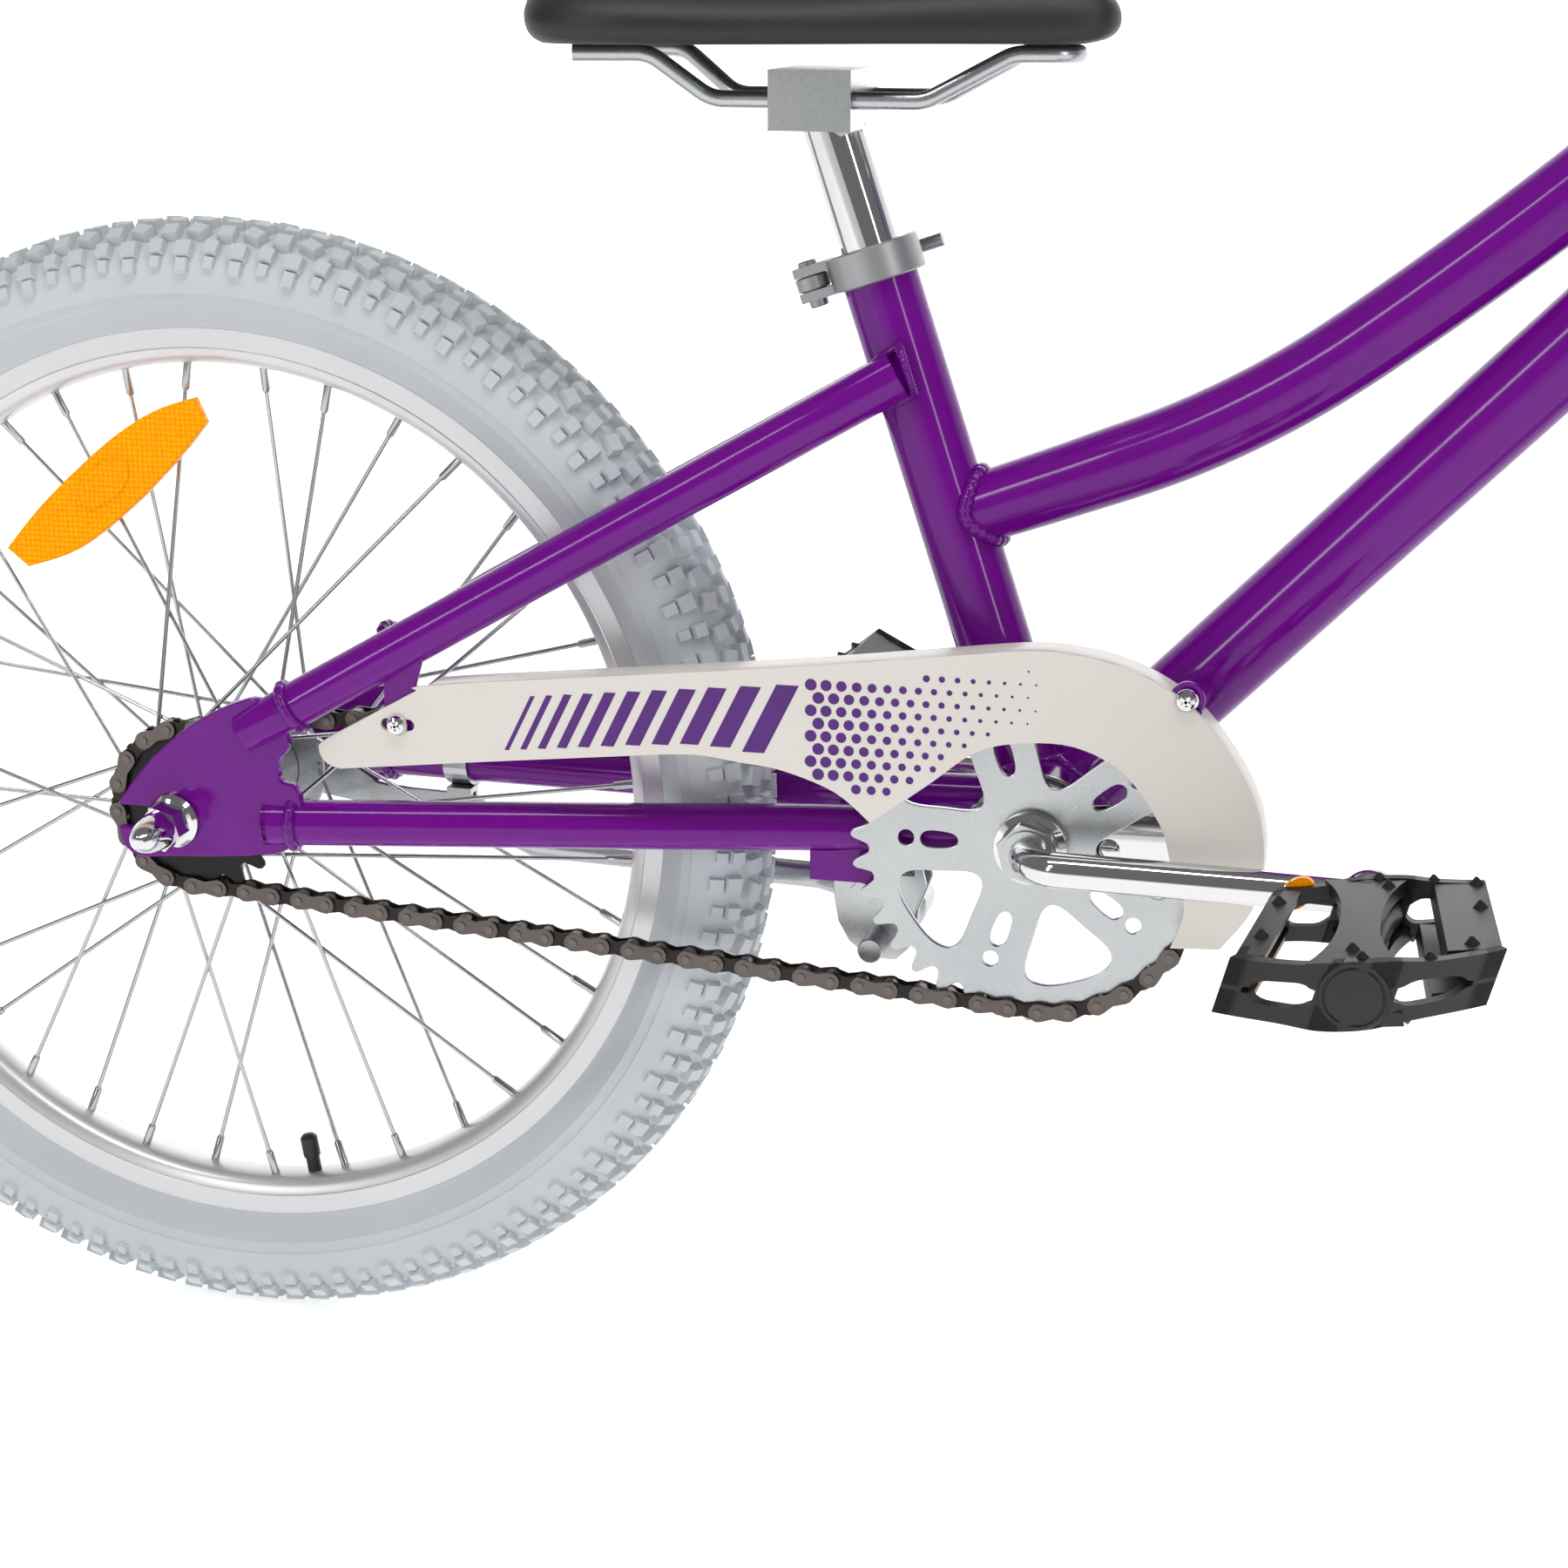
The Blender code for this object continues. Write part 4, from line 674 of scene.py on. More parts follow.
# %% Rims, hubs and valves
RIM = [(205, -9), (209, -10.5), (211, -12.2), (210.5, -13.2), (208.6, -13.3), (208.2, -12.9)]
RIM += [(207.8, -13.2), (199.6, -12.5), (199.2, -12.1), (198.8, -12.4), (196, -11.6)]
RIM += [(193.4, -9.4), (191.9, -5.5)]
VALVE = [(0, 173), (2.6, 173.5), (4, 175), (4, 184), (3.2, 185), (3.2, 193), (0, 193)]
VALVE_ANGLE = math.radians(-81)
VALVE_WAY = Vector((math.cos(VALVE_ANGLE), 0, math.sin(VALVE_ANGLE)))
REAR_HUB = [(5.15, 39), (17, 39), (19, 37), (19, 22), (17.5, 14), (17, 0), (17.5, -14), (19, -22)]
REAR_HUB += [(19, -31.5), (17, -33.5), (5.15, -33.5)]
FRONT_HUB = mirrored([(5.15, 33.5), (13, 33.5), (14, 32), (14, 25), (11.5, 20)], [(11, 0)])
for (word, centre), profile in zip(WHEELS, (REAR_HUB, FRONT_HUB)):
    body = word + "_wheel"
    with piece(word + "_rim_hoop", ALLOY, body, "rim_alloy", word + "_rim") as work:
        lathe(work, mirrored(RIM, [(191.5, 0)]), centre, ACROSS, 180)
    with piece(word + "_valve", BLACK, body, "black_plastic", sharp=40) as work:
        lathe(work, VALVE, centre, VALVE_WAY, 20)
    with piece(word + "_hub_shell", ZINC, body, "zinc_steel", word + "_hub") as work:
        lathe(work, profile, centre, ACROSS, 64)
print("rims and hubs")

# %% [markdown]
# Thirty-six spokes hook into the hub flanges and cross three others before
# they reach the rim, where a nipple pulls each one tight.

# %% Spokes
SPOKE_TURN = math.radians(-1.7)
FLANGE_Y = 29


def spoke_item(side, lean):
    """One spoke with its hooked head and nipple, leaving the flange at angle zero."""
    end = math.radians(60 * lean)
    inner = Vector((28, side * FLANGE_Y + lean * 1.15, 0)) * MM
    outer = Vector((190.5 * math.cos(end), side * 3.0, 190.5 * math.sin(end))) * MM
    way = (outer - inner).normalized()
    work = bmesh.new()
    sweep(work, [inner, outer], 1.0, 10)
    sweep(work, [along(outer, way, reach) for reach in (-11, -10, 3)], 1.9, 10, [0.7, 1, 1])
    sweep(work, [offset(inner, -lean * 1.4), offset(inner, lean * 1.4)], 1.9, 10)
    return new_piece("spoke item", work, WIRE)


for (word, centre), barrel in zip(WHEELS, (19.3, 14.3)):
    edge = mirrored([(32, 0.9), (31.4, 1.5), (barrel, 1.5)])
    for side, hand in SIDES:
        body, node = word + "_wheel", word + "_spokes_" + hand
        with piece(node + "_flange", ZINC, body, "spoke_steel", node) as work:
            lathe(work, edge, offset(centre, side * FLANGE_Y), ACROSS, 72)
        for lean, first, pull in ((1, 20, "_pulling"), (-1, 0, "_pushing")):
            begin = math.radians(first + side * 5) + SPOKE_TURN
            wires = copies(node + pull, spoke_item(side, lean), around(centre, 9, begin), WIRE)
            wear(wires, body, "spoke_steel")
print("72 spokes")

# %% [markdown]
# ## Chain
# A bushed roller chain: pairs of outer plates held by pins, joined to pairs of
# inner plates that carry the rollers. Its line is two arcs and the two straight
# tangents between the chain wheels, walked in steps of one pitch.

# %% Chain line
PITCH, RING_TEETH, COG_TEETH = 12.7, 36, 18
RING_R, COG_R = [PITCH / (2 * math.sin(math.pi / n)) for n in (RING_TEETH, COG_TEETH)]
CHAIN_Y = -42.0
PHASE = 0.0021


def chain_line():
    """Dense points of the pitch line as (x, z) from the rear hub."""
    slope = math.atan2(CRANK_Z, CRANK_X)
    lean = math.acos((RING_R - COG_R) / math.hypot(CRANK_X, CRANK_Z))
    arcs = ((CRANK_X, CRANK_Z, RING_R, slope + lean, -2 * lean),
            (0, 0, COG_R, slope - lean, 2 * lean - 2 * math.pi))
    points = []
    for cx, cz, r, first, span in arcs:
        turns = [first + span * i / 160 for i in range(161)]
        points += [(cx + r * math.cos(a), cz + r * math.sin(a)) for a in turns]
    return points + points[:1]


def walk(points, count, phase):
    """Evenly spaced points along a closed line, and the line's length."""
    lengths = [0.0]
    for a, b in zip(points, points[1:]):
        lengths.append(lengths[-1] + math.dist(a, b))
    result = []
    for i in range(count):
        goal = (phase + i / count) % 1.0 * lengths[-1]
        j = next(k for k, reach in enumerate(lengths[1:]) if reach >= goal)
        t = (goal - lengths[j]) / max(lengths[j + 1] - lengths[j], 1e-9)
        (x0, z0), (x1, z1) = points[j], points[j + 1]
        result.append((x0 + (x1 - x0) * t, z0 + (z1 - z0) * t))
    return result, lengths[-1]


LINE = chain_line()
_, LOOP = walk(LINE, 1, 0)
LINKS = 2 * round(LOOP / PITCH / 2)
PINS, _ = walk(LINE, LINKS, PHASE)
print("pitch line", round(LOOP, 1), "mm long")


# %% Chain links
def link_item(half_gap, material):
    """Two waisted side plates, one each side of the chain's middle."""
    thick, end_r, waist_r = 1.0, 4.1, 2.7
    waist = []
    for end, back in ((1, 0), (-1, 180)):
        for degrees in range(-105, 106, 30):
            turn = math.radians(degrees + back)
            waist.append((end * PITCH / 2 + end_r * math.cos(turn), end_r * math.sin(turn)))
        waist.append((0, end * waist_r))
    work = bmesh.new()
    for side, _ in SIDES:
        plate(work, waist, thick, side * (half_gap + thick / 2), soft=0.2, centre=NOWHERE)
    return new_piece("link item", work, material)


def bar(work, centre, start, stop, radius, sides):
    """A round or six-sided bar across the bicycle, from one y to another."""
    sweep(work, [offset(centre, start), offset(centre, stop)], radius, sides)


def pin_item(radius, reach, steps, material):
    """Two round bars across the chain, one at each end of a link."""
    work = bmesh.new()
    for x in (-PITCH / 2, PITCH / 2):
        bar(work, Vector((x, 0, 0)) * MM, -reach, reach, radius, steps)
    return new_piece("pin item", work, material)


places = []
for (x0, z0), (x1, z1) in zip(PINS, PINS[1:] + PINS[:1]):
    turn = (0, -math.atan2(z1 - z0, x1 - x0), 0)
    places.append((rear((x0 + x1) / 2, CHAIN_Y, (z0 + z1) / 2), turn))
CHAIN = (
    ("chain_outer_plates", link_item(3.35, LINK), 0, LINK, 30, "chain"),
    ("chain_inner_plates", link_item(2.2, INNER_LINK), 1, INNER_LINK, 30),
    ("chain_rollers", pin_item(3.85, 2.1, 14, LINK), 1, LINK, 40),
    ("chain_pins", pin_item(1.9, 4.8, 10, PIN), 0, PIN, 40),
)
for name, item, first, material, sharp, *nodes in CHAIN:
    links = copies(name, item, places[first::2], material, sharp)
    wear(links, "frame", "chain_steel", *nodes)
print("chain of", LINKS, "links,", round(LOOP / LINKS, 2), "mm pitch")

# %% [markdown]
# The chainring is stamped from plate and zinc plated: five arms with a slot and
# a hole, five windows, thirty-six teeth. The sprocket sits on the brake hub.


# %% Chain wheels
def polar(pairs, turn, x=CRANK_X, z=CRANK_Z):
    """Points (x, z) for pairs of radius and degrees, turned about a centre."""
    spots = [(r, math.radians(a + turn)) for r, a in pairs]
    return [(x + r * math.cos(a), z + r * math.sin(a)) for r, a in spots]


def toothed(teeth, radius, *centre):
    """A tooth outline with rounded tips and roller seats."""
    flank = [(0.36, -3.3), (0.24, -0.4), (0.15, 2.6), (0.06, 3.9)]
    shape = [(-0.5, -3.9)] + [(-part, lift) for part, lift in flank] + flank[::-1]
    step = 360 / teeth
    tooth = [(radius + lift, part * step) for part, lift in shape]
    return [spot for i in range(teeth) for spot in polar(tooth, i * step, *centre)]


WINDOW = mirrored([(28, 7), (40, 16), (53, 20), (59, 17), (61, 8)])
ARM_SLOT = [(34, -5), (31, 0), (34, 5), (44, 4.5), (47, 0), (44, -4.5)]
HOLE_AT = [(53, 0)]
holes = [ring(8.2, 40, CRANK_X, CRANK_Z)]
for turn in range(0, 360, 72):
    holes.append(curve_through(polar(WINDOW, turn), 4, True))
    holes.append(curve_through(polar(ARM_SLOT, turn + 36), 5, True))
    holes.append(ring(3.4, 20, *polar(HOLE_AT, turn + 36)[0]))
with piece("chainring_plate", ZINC, "crank", "zinc_steel", "chainring") as work:
    plate(work, toothed(RING_TEETH, RING_R), 3.0, CHAIN_Y, holes, 0.35)
COG_HUB = [(5.2, 4.0), (13.5, 4.0), (15, 3.0), (15, -8.1), (5.2, -8.1)]
with piece("sprocket_plate", BLACK_STEEL, "driver", "black_steel", "rear_sprocket") as work:
    plate(work, toothed(COG_TEETH, COG_R, 0, 0), 3.0, CHAIN_Y, [ring(15, 40)], 0.35)
    lathe(work, COG_HUB, offset(REAR, CHAIN_Y), -ACROSS, 48)
print("chain wheels")

# %% [markdown]
# ## Crank and pedals
# The crank is one forged bar, bent through the bottom bracket and plated. Each
# arm swells into an eye that takes the pedal's threaded spindle.


# %% Crank
def rounded(points, radius, steps):
    """The chain of points with each inner corner replaced by an arc."""
    result = [points[0]]
    for before, corner, after in zip(points, points[1:], points[2:]):
        back, onward = (before - corner).normalized(), (after - corner).normalized()
        half = back.angle(onward) / 2
        room = 0.49 * min((before - corner).length, (after - corner).length)
        reach = min(radius * MM / math.tan(half), room)
        middle = corner + (back + onward).normalized() * (reach / math.cos(half))
        start, stop = corner + back * reach - middle, corner + onward * reach - middle
        axis, angle = start.cross(stop).normalized(), start.angle(stop)
        for i in range(steps + 1):
            result.append(middle + Matrix.Rotation(angle * i / steps, 3, axis) @ start)
    return result + [points[-1]]


ARM_LENGTH, ARM_R, EYE_Y, BEND_Y = 140, 7.4, 78, 73


def crank_end(side, y):
    """A point on a pedal's axis, y millimetres out from the bicycle's middle."""
    return SHELL + Vector((-side * ARM_LENGTH, side * y, 0)) * MM


BENDS = [offset(SHELL, -BEND_Y), offset(SHELL, BEND_Y)]
CRANK_LINE = [crank_end(-1, EYE_Y), *BENDS, crank_end(1, EYE_Y)]
EYE = mirrored([(0, 8), (10, 8), (12.2, 7), (13, 5.2)])
CONE = [(0, 51.8), (11, 51.8), (12, 51), (12.4, 49), (15.2, 48.4), (15.5, 47.6), (15.5, 43.8)]
CONE += [(0, 43.8)]
with piece("crank_forging", CHROME, "crank", "chrome", "crank", sharp=35) as work:
    sweep(work, rounded(CRANK_LINE, 18, 10), ARM_R, 40)
    for side, _ in SIDES:
        lathe(work, EYE, crank_end(side, EYE_Y), ACROSS * side, 56)
        lathe(work, pipe(0, 14.4, 40.2, 24), SHELL, ACROSS * side, 48)
    lathe(work, CONE, SHELL, -ACROSS, 56)
with piece("crank_lock_nut", ZINC, "crank", "zinc_steel") as work:
    bar(work, SHELL, -52.0, -56.5, 13.2, 6)
    bar(work, SHELL, -56.5, -58.0, 10.4, 40)
with piece("pedal_washers", ZINC, "crank", "zinc_steel") as work:
    for side, _ in SIDES:
        lathe(work, pipe(7, 11.6, 0.25, 0.02), crank_end(side, 86), ACROSS * side, 48)
print("crank forged")

# %% [markdown]
# A pedal is one moulding: two leaning treads, bowed end plates with windows, an
# hourglass core for the spindle and pyramid studs. A reflector sits in one of
# the treads. The left pedal is the same moulding, turned end for end.


# %% Pedal walls
HALF_TALL, RAIL_FOOT = 10.4, 5.4
WEB_THICK, WEB_IN = 3.6, 2.0
TREAD_ENDS = [Vector((39.6, 5.0)), Vector((47.2, 86.0))]
GAP = (0.12, 0.86)


def level(height):
    """The same height at every x."""
    return lambda x: height


def ways(points):
    """The direction of a plane line at each of its points."""
    spots = [Vector(p) for p in (points[0], *points, points[-1])]
    return [(after - before).normalized() for before, after in zip(spots, spots[2:])]


def wall_of(work, path, thick, low, high):
    """An upright wall along plan points (x, y), from one height to another."""
    rows = []
    for (x, y), way in zip(path, ways(path)):
        dx, dy = way * thick / 2
        corners = ((x - dy, y + dx, low(x)), (x + dy, y - dx, low(x)),
                   (x + dy, y - dx, high(x)), (x - dy, y + dx, high(x)))
        rows.append([work.verts.new(Vector(corner) * MM) for corner in corners])
    skin(work, rows)


def slab(work, outline, *heights):
    """A prism over plan points (x, y), from one height to another."""
    spots = [[Vector((x, y, z)) * MM for x, y in outline] for z in heights]
    skin(work, [[work.verts.new(spot) for spot in row] for row in spots])


print("tread edge", round((TREAD_ENDS[1] - TREAD_ENDS[0]).length, 1), "mm long")


# %% Pedal moulding
def swell(x):
    """Half the height of an end plate: full at the boss, lower towards the treads."""
    return HALF_TALL + 2.4 / (1 + (x / 17.0) ** 4)


def sunk(x):
    return -swell(x)


def end_plate(work, near, y_end, y_mid, thick):
    """A bowed end plate: deep rails joined by posts, with rounded windows between."""
    spots = [near * (i / 24 - 1) for i in range(49)]
    bow = [(x, y_end + (y_mid - y_end) * (1 - (abs(x) / near) ** 1.7)) for x in spots]
    start, stop = 15.0, 0.8 * near

    def closing(x):
        """How far a window has narrowed at x: none in its middle, most at its ends."""
        return 3.4 * min(1.0, abs(2 * abs(x) - start - stop) / (stop - start)) ** 4

    wall_of(work, bow, thick, lambda x: swell(x) - 6.6 - closing(x), swell)
    wall_of(work, bow, thick, sunk, lambda x: 5.8 - swell(x) + closing(x))
    for way in (-1, 1):
        for first, last in ((stop, near), (0, start)):
            wall_of(work, [p for p in bow if first <= way * p[0] <= last], thick, sunk, swell)


def tread_line(way, first, last, inset):
    """Two plan points on a tread's outer edge, moved in by a distance."""
    ends = [TREAD_ENDS[0].lerp(TREAD_ENDS[1], t) for t in (first, last)]
    return [(way * (x - inset), y) for x, y in ends]


def web(work, way, first, last):
    """A thin wall of full height in a tread."""
    line = tread_line(way, first, last, WEB_IN)
    wall_of(work, line, WEB_THICK, level(-HALF_TALL), level(HALF_TALL))


def tread(work, way, wide):
    """One leaning tread: flat rails above and below, closed at its ends."""
    rail = tread_line(way, 0, 1, wide / 2)
    wall_of(work, rail, wide, level(-HALF_TALL), level(-RAIL_FOOT))
    wall_of(work, rail, wide, level(RAIL_FOOT), level(HALF_TALL))
    web(work, way, 0, GAP[0])
    web(work, way, GAP[1], 1)


def core(work):
    """The hourglass round the spindle, flat above and below, and the grooved end cap."""
    bore = [(6.4, 95), (6.4, 0.2)]
    glass = [(12.6, 0.2), (12.9, 3), (12.4, 8), (10.2, 18), (8.9, 30), (8.6, 52), (8.9, 74)]
    glass += [(10.2, 86), (12.4, 96), (13, 100)]
    cap = [(13, 103.6), (12.4, 104.5), (11.2, 104.5), (11.0, 104.0), (10.4, 104.0), (10.2, 104.6)]
    lathe(work, bore + glass + cap + [(0, 104.8), (0, 95)], NOWHERE, ACROSS, 48)
    waist = [(7.5 + 9.0 * abs((y - 52) / 50) ** 2.5, y) for y in range(2, 103, 4)]
    waist += [(-x, y) for x, y in reversed(waist)]
    slab(work, waist, 7.0, 12.2)
    slab(work, waist, -12.2, -7.0)


print("end plates are", 2 * swell(0), "mm tall at the boss")


# %% Pedal studs, boss and spindle
def stud_item():
    work = bmesh.new()
    foot, tip, tall = 3.1 * MM, 0.5 * MM, 3.2 * MM
    bmesh.ops.create_cone(work, segments=4, radius1=foot, radius2=tip, depth=tall, cap_ends=True)
    return new_piece("stud item", work, BLACK)


STUDS = [(-20, 4), (-36, 9), (-38, 38), (-22, 96), (-36, 80), (37, 24), (40, 64)]
CORE_STUDS = [(6, 88), (2, 98), (1, 4), (-3, 14)]
STUD_SPOTS = [(x, y, 11.8) for x, y in STUDS] + [(x, y, 13.4) for x, y in CORE_STUDS]
BOSS = [(0, 4), (6.5, 4), (6.5, 0.9), (6, 0.4), (4.6, 0.4), (4.2, 1.0), (0, 1.0)]
SPINDLE = [(0, 97), (6, 97), (6, 3), (9, 2.6), (9, 0.3), (8.6, 0), (0, 0)]
LEAN = Matrix.Identity(4)
LEAN[0][2] = -0.4
print("studs to a face", len(STUD_SPOTS))


# %% Both pedals
def pedal(side, word, tilt):
    body = "pedal_" + word
    flip = Matrix.Rotation(tilt, 4, "Y")
    out = Matrix.Rotation(math.pi if side < 0 else 0.0, 4, "Z")
    upright = Matrix.Translation(crank_end(side, 89.7)) @ flip @ out
    leaning = upright @ LEAN
    with piece("pedal_moulding_" + word, BLACK, body, "black_plastic", body) as work:
        end_plate(work, 47.5, 84.5, 102.0, 5.0)
        end_plate(work, 39, 6.3, 2.8, 4.6)
        tread(work, -side, 11)
        tread(work, side, 19)
        web(work, side, *GAP)
        work.transform(leaning)
    with piece("pedal_core_" + word, BLACK, body, "black_plastic") as work:
        core(work)
        work.transform(upright)
    spots = []
    for up, over in ((-1, math.pi), (1, 0)):
        turn = (flip @ Matrix.Rotation(over, 4, "X")).to_euler()
        for x, y, z in STUD_SPOTS:
            spots.append((leaning @ (Vector((-side * x, y, up * z)) * MM), turn))
    studs = copies("pedal_studs_" + word, stud_item(), spots, BLACK)
    wear(studs, body, "black_plastic")
    with piece("pedal_reflectors_" + word, AMBER, body, "reflector", sharp=40) as work:
        wall_of(work, tread_line(-side, *GAP, WEB_IN), 3.0, level(-5.5), level(5.5))
        lathe(work, BOSS, Vector((-side * 30.5, 0, 7.4)) * MM, ACROSS, 32)
        work.transform(leaning)
    pin = "pedal_spindle_pin_" + word
    with piece(pin, ZINC, "crank", "zinc_steel", "pedal_spindle_" + word) as work:
        lathe(work, SPINDLE, crank_end(side, 86.3), ACROSS * side, 40)


pedal(-1, "right", math.radians(-6.7))
pedal(1, "left", math.radians(-40.5))
print("pedals")

# %% [markdown]
# ## Chain guard
# One thin moulding: a flat face, and a lip along its upper edge that turns in
# over the chain. Slanted bars and a fading field of dots are printed on it.

# %% Chain guard shell
EDGE = [(113, 64), (119, 66.7), (200, 75.7), (273, 83.7), (330, 91), (373.5, 96.5), (392.5, 96)]
EDGE += [(407, 93.5), (419, 89.6), (431, 83.5), (441, 76.5), (453, 63), (464.7, 44.6), (470, 28.3)]
EDGE += [(471, 12), (467, -6), (455, -23)]
ARCH = [(435, -24), (440, -8), (437, 4), (434, 11.7), (429, 28), (414, 48), (393.6, 57.8)]
ARCH += [(370.5, 57.7), (353, 52.5), (335, 38.5), (318, 25.7), (310, 20)]
BELLY = [(310, 20), (295, 32), (273, 39.7), (254.7, 42), (235, 44), (210, 42)]
TAIL = [(210, 42), (150, 35.5), (84, 28), (76, 27.4), (70, 30), (67.5, 35), (70, 39.5), (90, 51)]
TAIL += [(113, 64)]
LIP, FACE_Y = 2.0, -59
edge = curve_through(EDGE, 5)
outline = edge + [p for part in (ARCH, BELLY, TAIL) for p in curve_through(part, 5)[:-1]]
lip = edge[5:]
under = [(x + way.y * LIP, z - way.x * LIP) for (x, z), way in zip(lip, ways(lip))]
sx, sz = REAR_SCREW
ends = [(way, x, z) for way in (1, -1) for x, z in ring(2.5, 24) if way * x >= -1e-6]
slot = [(sx + way * 5 + x, sz + z) for way, x, z in ends]
slot.sort(key=lambda p: math.atan2(p[1] - sz, p[0] - sx))
with piece("guard_moulding", GUARD, "frame", "guard_plastic", "chain_guard") as work:
    plate(work, outline, 2.0, FACE_Y, [slot], 0.5)
    plate(work, lip + under[::-1], 16.4, FACE_Y + 7.4)
print("guard outline of", len(outline), "points")


# %% Guard printing
def between(points, x):
    """The height of a line of (x, z) points at x."""
    pairs = sorted(points)
    for (x0, z0), (x1, z1) in zip(pairs, pairs[1:]):
        if x0 <= x <= x1:
            return z0 + (z1 - z0) * (x - x0) / max(x1 - x0, 1e-9)
    return pairs[-1][1]


TOP_EDGE, LOW_EDGE = EDGE[:7], TAIL[:3] + BELLY + ARCH[6:]
BARS_FROM, BARS_TO, BAR_GAP, BAR_GROWTH = 152.0, 262, 5.0, 0.75
PRINT = (0.12, -60.03, (), 0.02)
with piece("guard_printing", INK, "frame", "guard_plastic", sharp=40) as work:
    x, wide = BARS_FROM, 2.0
    while x < BARS_TO:
        low, high = between(LOW_EDGE, x) + 5.0, between(TOP_EDGE, x + 14) - 7.0
        top = x + 0.5 * (high - low)
        plate(work, [(x, low), (x + wide, low), (top + wide, high), (top, high)], *PRINT)
        x += wide + BAR_GAP
        wide += BAR_GROWTH
    for column in range(15):
        for row in range(12):
            x, z = 285 + column * 6.4 + (row % 2) * 3.2, 34 + row * 5.4
            if z - between(LOW_EDGE, x) > 5 and between(TOP_EDGE, x) - z > 8:
                plate(work, ring(2.5 * (1 - column / 17), 20, x, z), *PRINT)
print("guard printed")

# %% Guard screws and bracket
DOME = [(0, 2.1), (1.9, 2.0), (1.9, 3.0), (3.6, 2.5), (4.4, 1.2), (4.8, 0.4), (4.8, 0), (0, 0)]
SCREW_Y = -60.1
SCREWS = (("front", FRONT_SCREW, "chain_guard_screw"), ("rear", REAR_SCREW))
for word, (x, z), *nodes in SCREWS:
    with piece("guard_" + word + "_screw", CHROME, "frame", "chrome", *nodes) as work:
        lathe(work, DOME, rear(x, SCREW_Y, z), -ACROSS, 36)
        for turn in (0.6, 0.6 + math.pi / 2):
            cross = Matrix.Rotation(turn, 4, "Y")
            box(work, (5.2, 0.6, 1.2), rear(x, SCREW_Y - 2.95, z), cross)
TONGUE = [(404, -2), (457, 3), (464, 5), (466.5, 10), (466.5, 18), (464, 23), (457, 24.5)]
TONGUE += [(404, 28)]
RIVET = [(0, 40.0), (3.5, 39.9), (5, 39.2), (5, 37), (0, 37)]
with piece("guard_bracket_plate", CHROME, "frame", "chrome", "chain_guard_bracket") as work:
    eye = polar([(26, a) for a in range(40, 321, 8)], 0)
    plate(work, eye + TONGUE, 1.7, -36.45, [ring(14.8, 40, CRANK_X, CRANK_Z)])
    box(work, (3, 21.4, 17), rear(464.9, -46.9, 14))
    plate(work, [(451.5, 5), (466, 5), (466, 23), (451.5, 23)], 2.0, -56.7)
    lathe(work, RIVET, rear(405.6, 0, 8), -ACROSS, 30)
print("chain guard")

# %% [markdown]
# ## Turned hardware
# Axles, nuts, bearing cups and headset cups are all turned or pressed round, so
# each is a profile of (radius, distance along its axis).

# %% Axles, nuts and cups
ACORN = [(0, 15.5), (8.4, 15.5), (8.5, 18), (8.1, 22), (6.9, 28), (5.2, 32.6), (2.8, 35.4)]
ACORN += [(0, 36.2)]
WASHER = [(5.05, 0), (12, 0), (12, 2.4), (10.6, 4.4), (8.6, 5.0), (8.6, 6), (5.05, 6)]
CUP = [(14.8, 2), (27.5, 2), (28.5, 1.2), (28.5, 0), (25.2, 0), (25.2, -12), (14.8, -12)]
HEAD_CUP = [(13.1, 9.3), (17, 9.3), (18.4, 8.6), (20.4, 5.4), (21, 4.4), (21, 0.8), (20.4, 0.3)]
HEAD_CUP += [(13.1, 0.3)]
for side, word in SIDES:
    out, face = ACROSS * side, offset(REAR, side * 64.3)
    with piece("dome_nut_" + word, CHROME, "frame", "chrome", "rear_axle_nut_" + word) as work:
        lathe(work, WASHER, face, out, 48)
        bar(work, face, side * 5, side * 16, 10.0, 6)
        lathe(work, ACORN, face, out, 48)
    with piece("pressed_cup_" + word, ZINC, "frame", "zinc_steel", "bearing_cup_" + word) as work:
        lathe(work, CUP, offset(SHELL, side * 33.3), out, 64)
for word, foot, axis in (("lower", -30, -HEAD_AXIS), ("upper", 66, HEAD_AXIS)):
    with piece("head_cup_" + word, CHROME, "frame", "chrome", "headset_cup_" + word) as work:
        lathe(work, HEAD_CUP, up_head(foot), axis, 64)
# Each axle: its body, its reach, and its collars and lock nuts from y to y.
REAR_STOPS = [(-58.7, -46.4, 9, 6), (39.4, 45.7, 11, 40), (49.3, 58.7, 9, 6)]
FRONT_STOPS = [(33.9, 49.2, 8, 40), (-49.2, -33.9, 8, 40), (54.8, 62.8, 9, 6)]
FRONT_STOPS += [(-62.8, -54.8, 9, 6)]
AXLES = (("frame", 80, REAR_STOPS), ("steering", 65.8, FRONT_STOPS))
for (word, centre), (body, reach, stops) in zip(WHEELS, AXLES):
    with piece(word + "_axle_rod", ZINC, body, "zinc_steel", word + "_axle") as work:
        lathe(work, pipe(0, 4.75, reach, -reach), centre, ACROSS, 32)
        for stop in stops:
            bar(work, centre, *stop)
print("turned hardware")

# %% [markdown]
# ## Brake arm, kickstand and reflector
# The coaster brake's arm is clipped to the left chainstay. The kickstand's
# bracket hangs under the frame plate and its leg lies folded along the stay.


# %% Brake arm and kickstand
def drum(bore, radius, high, low, ease):
    """The profile of a bush or a boss with eased edges; ease is (radial, axial)."""
    inset, drop = ease
    profile = [(bore, high), (radius - inset, high), (radius, high - drop)]
    return profile + [(radius, low + drop), (radius - inset, low), (bore, low)]


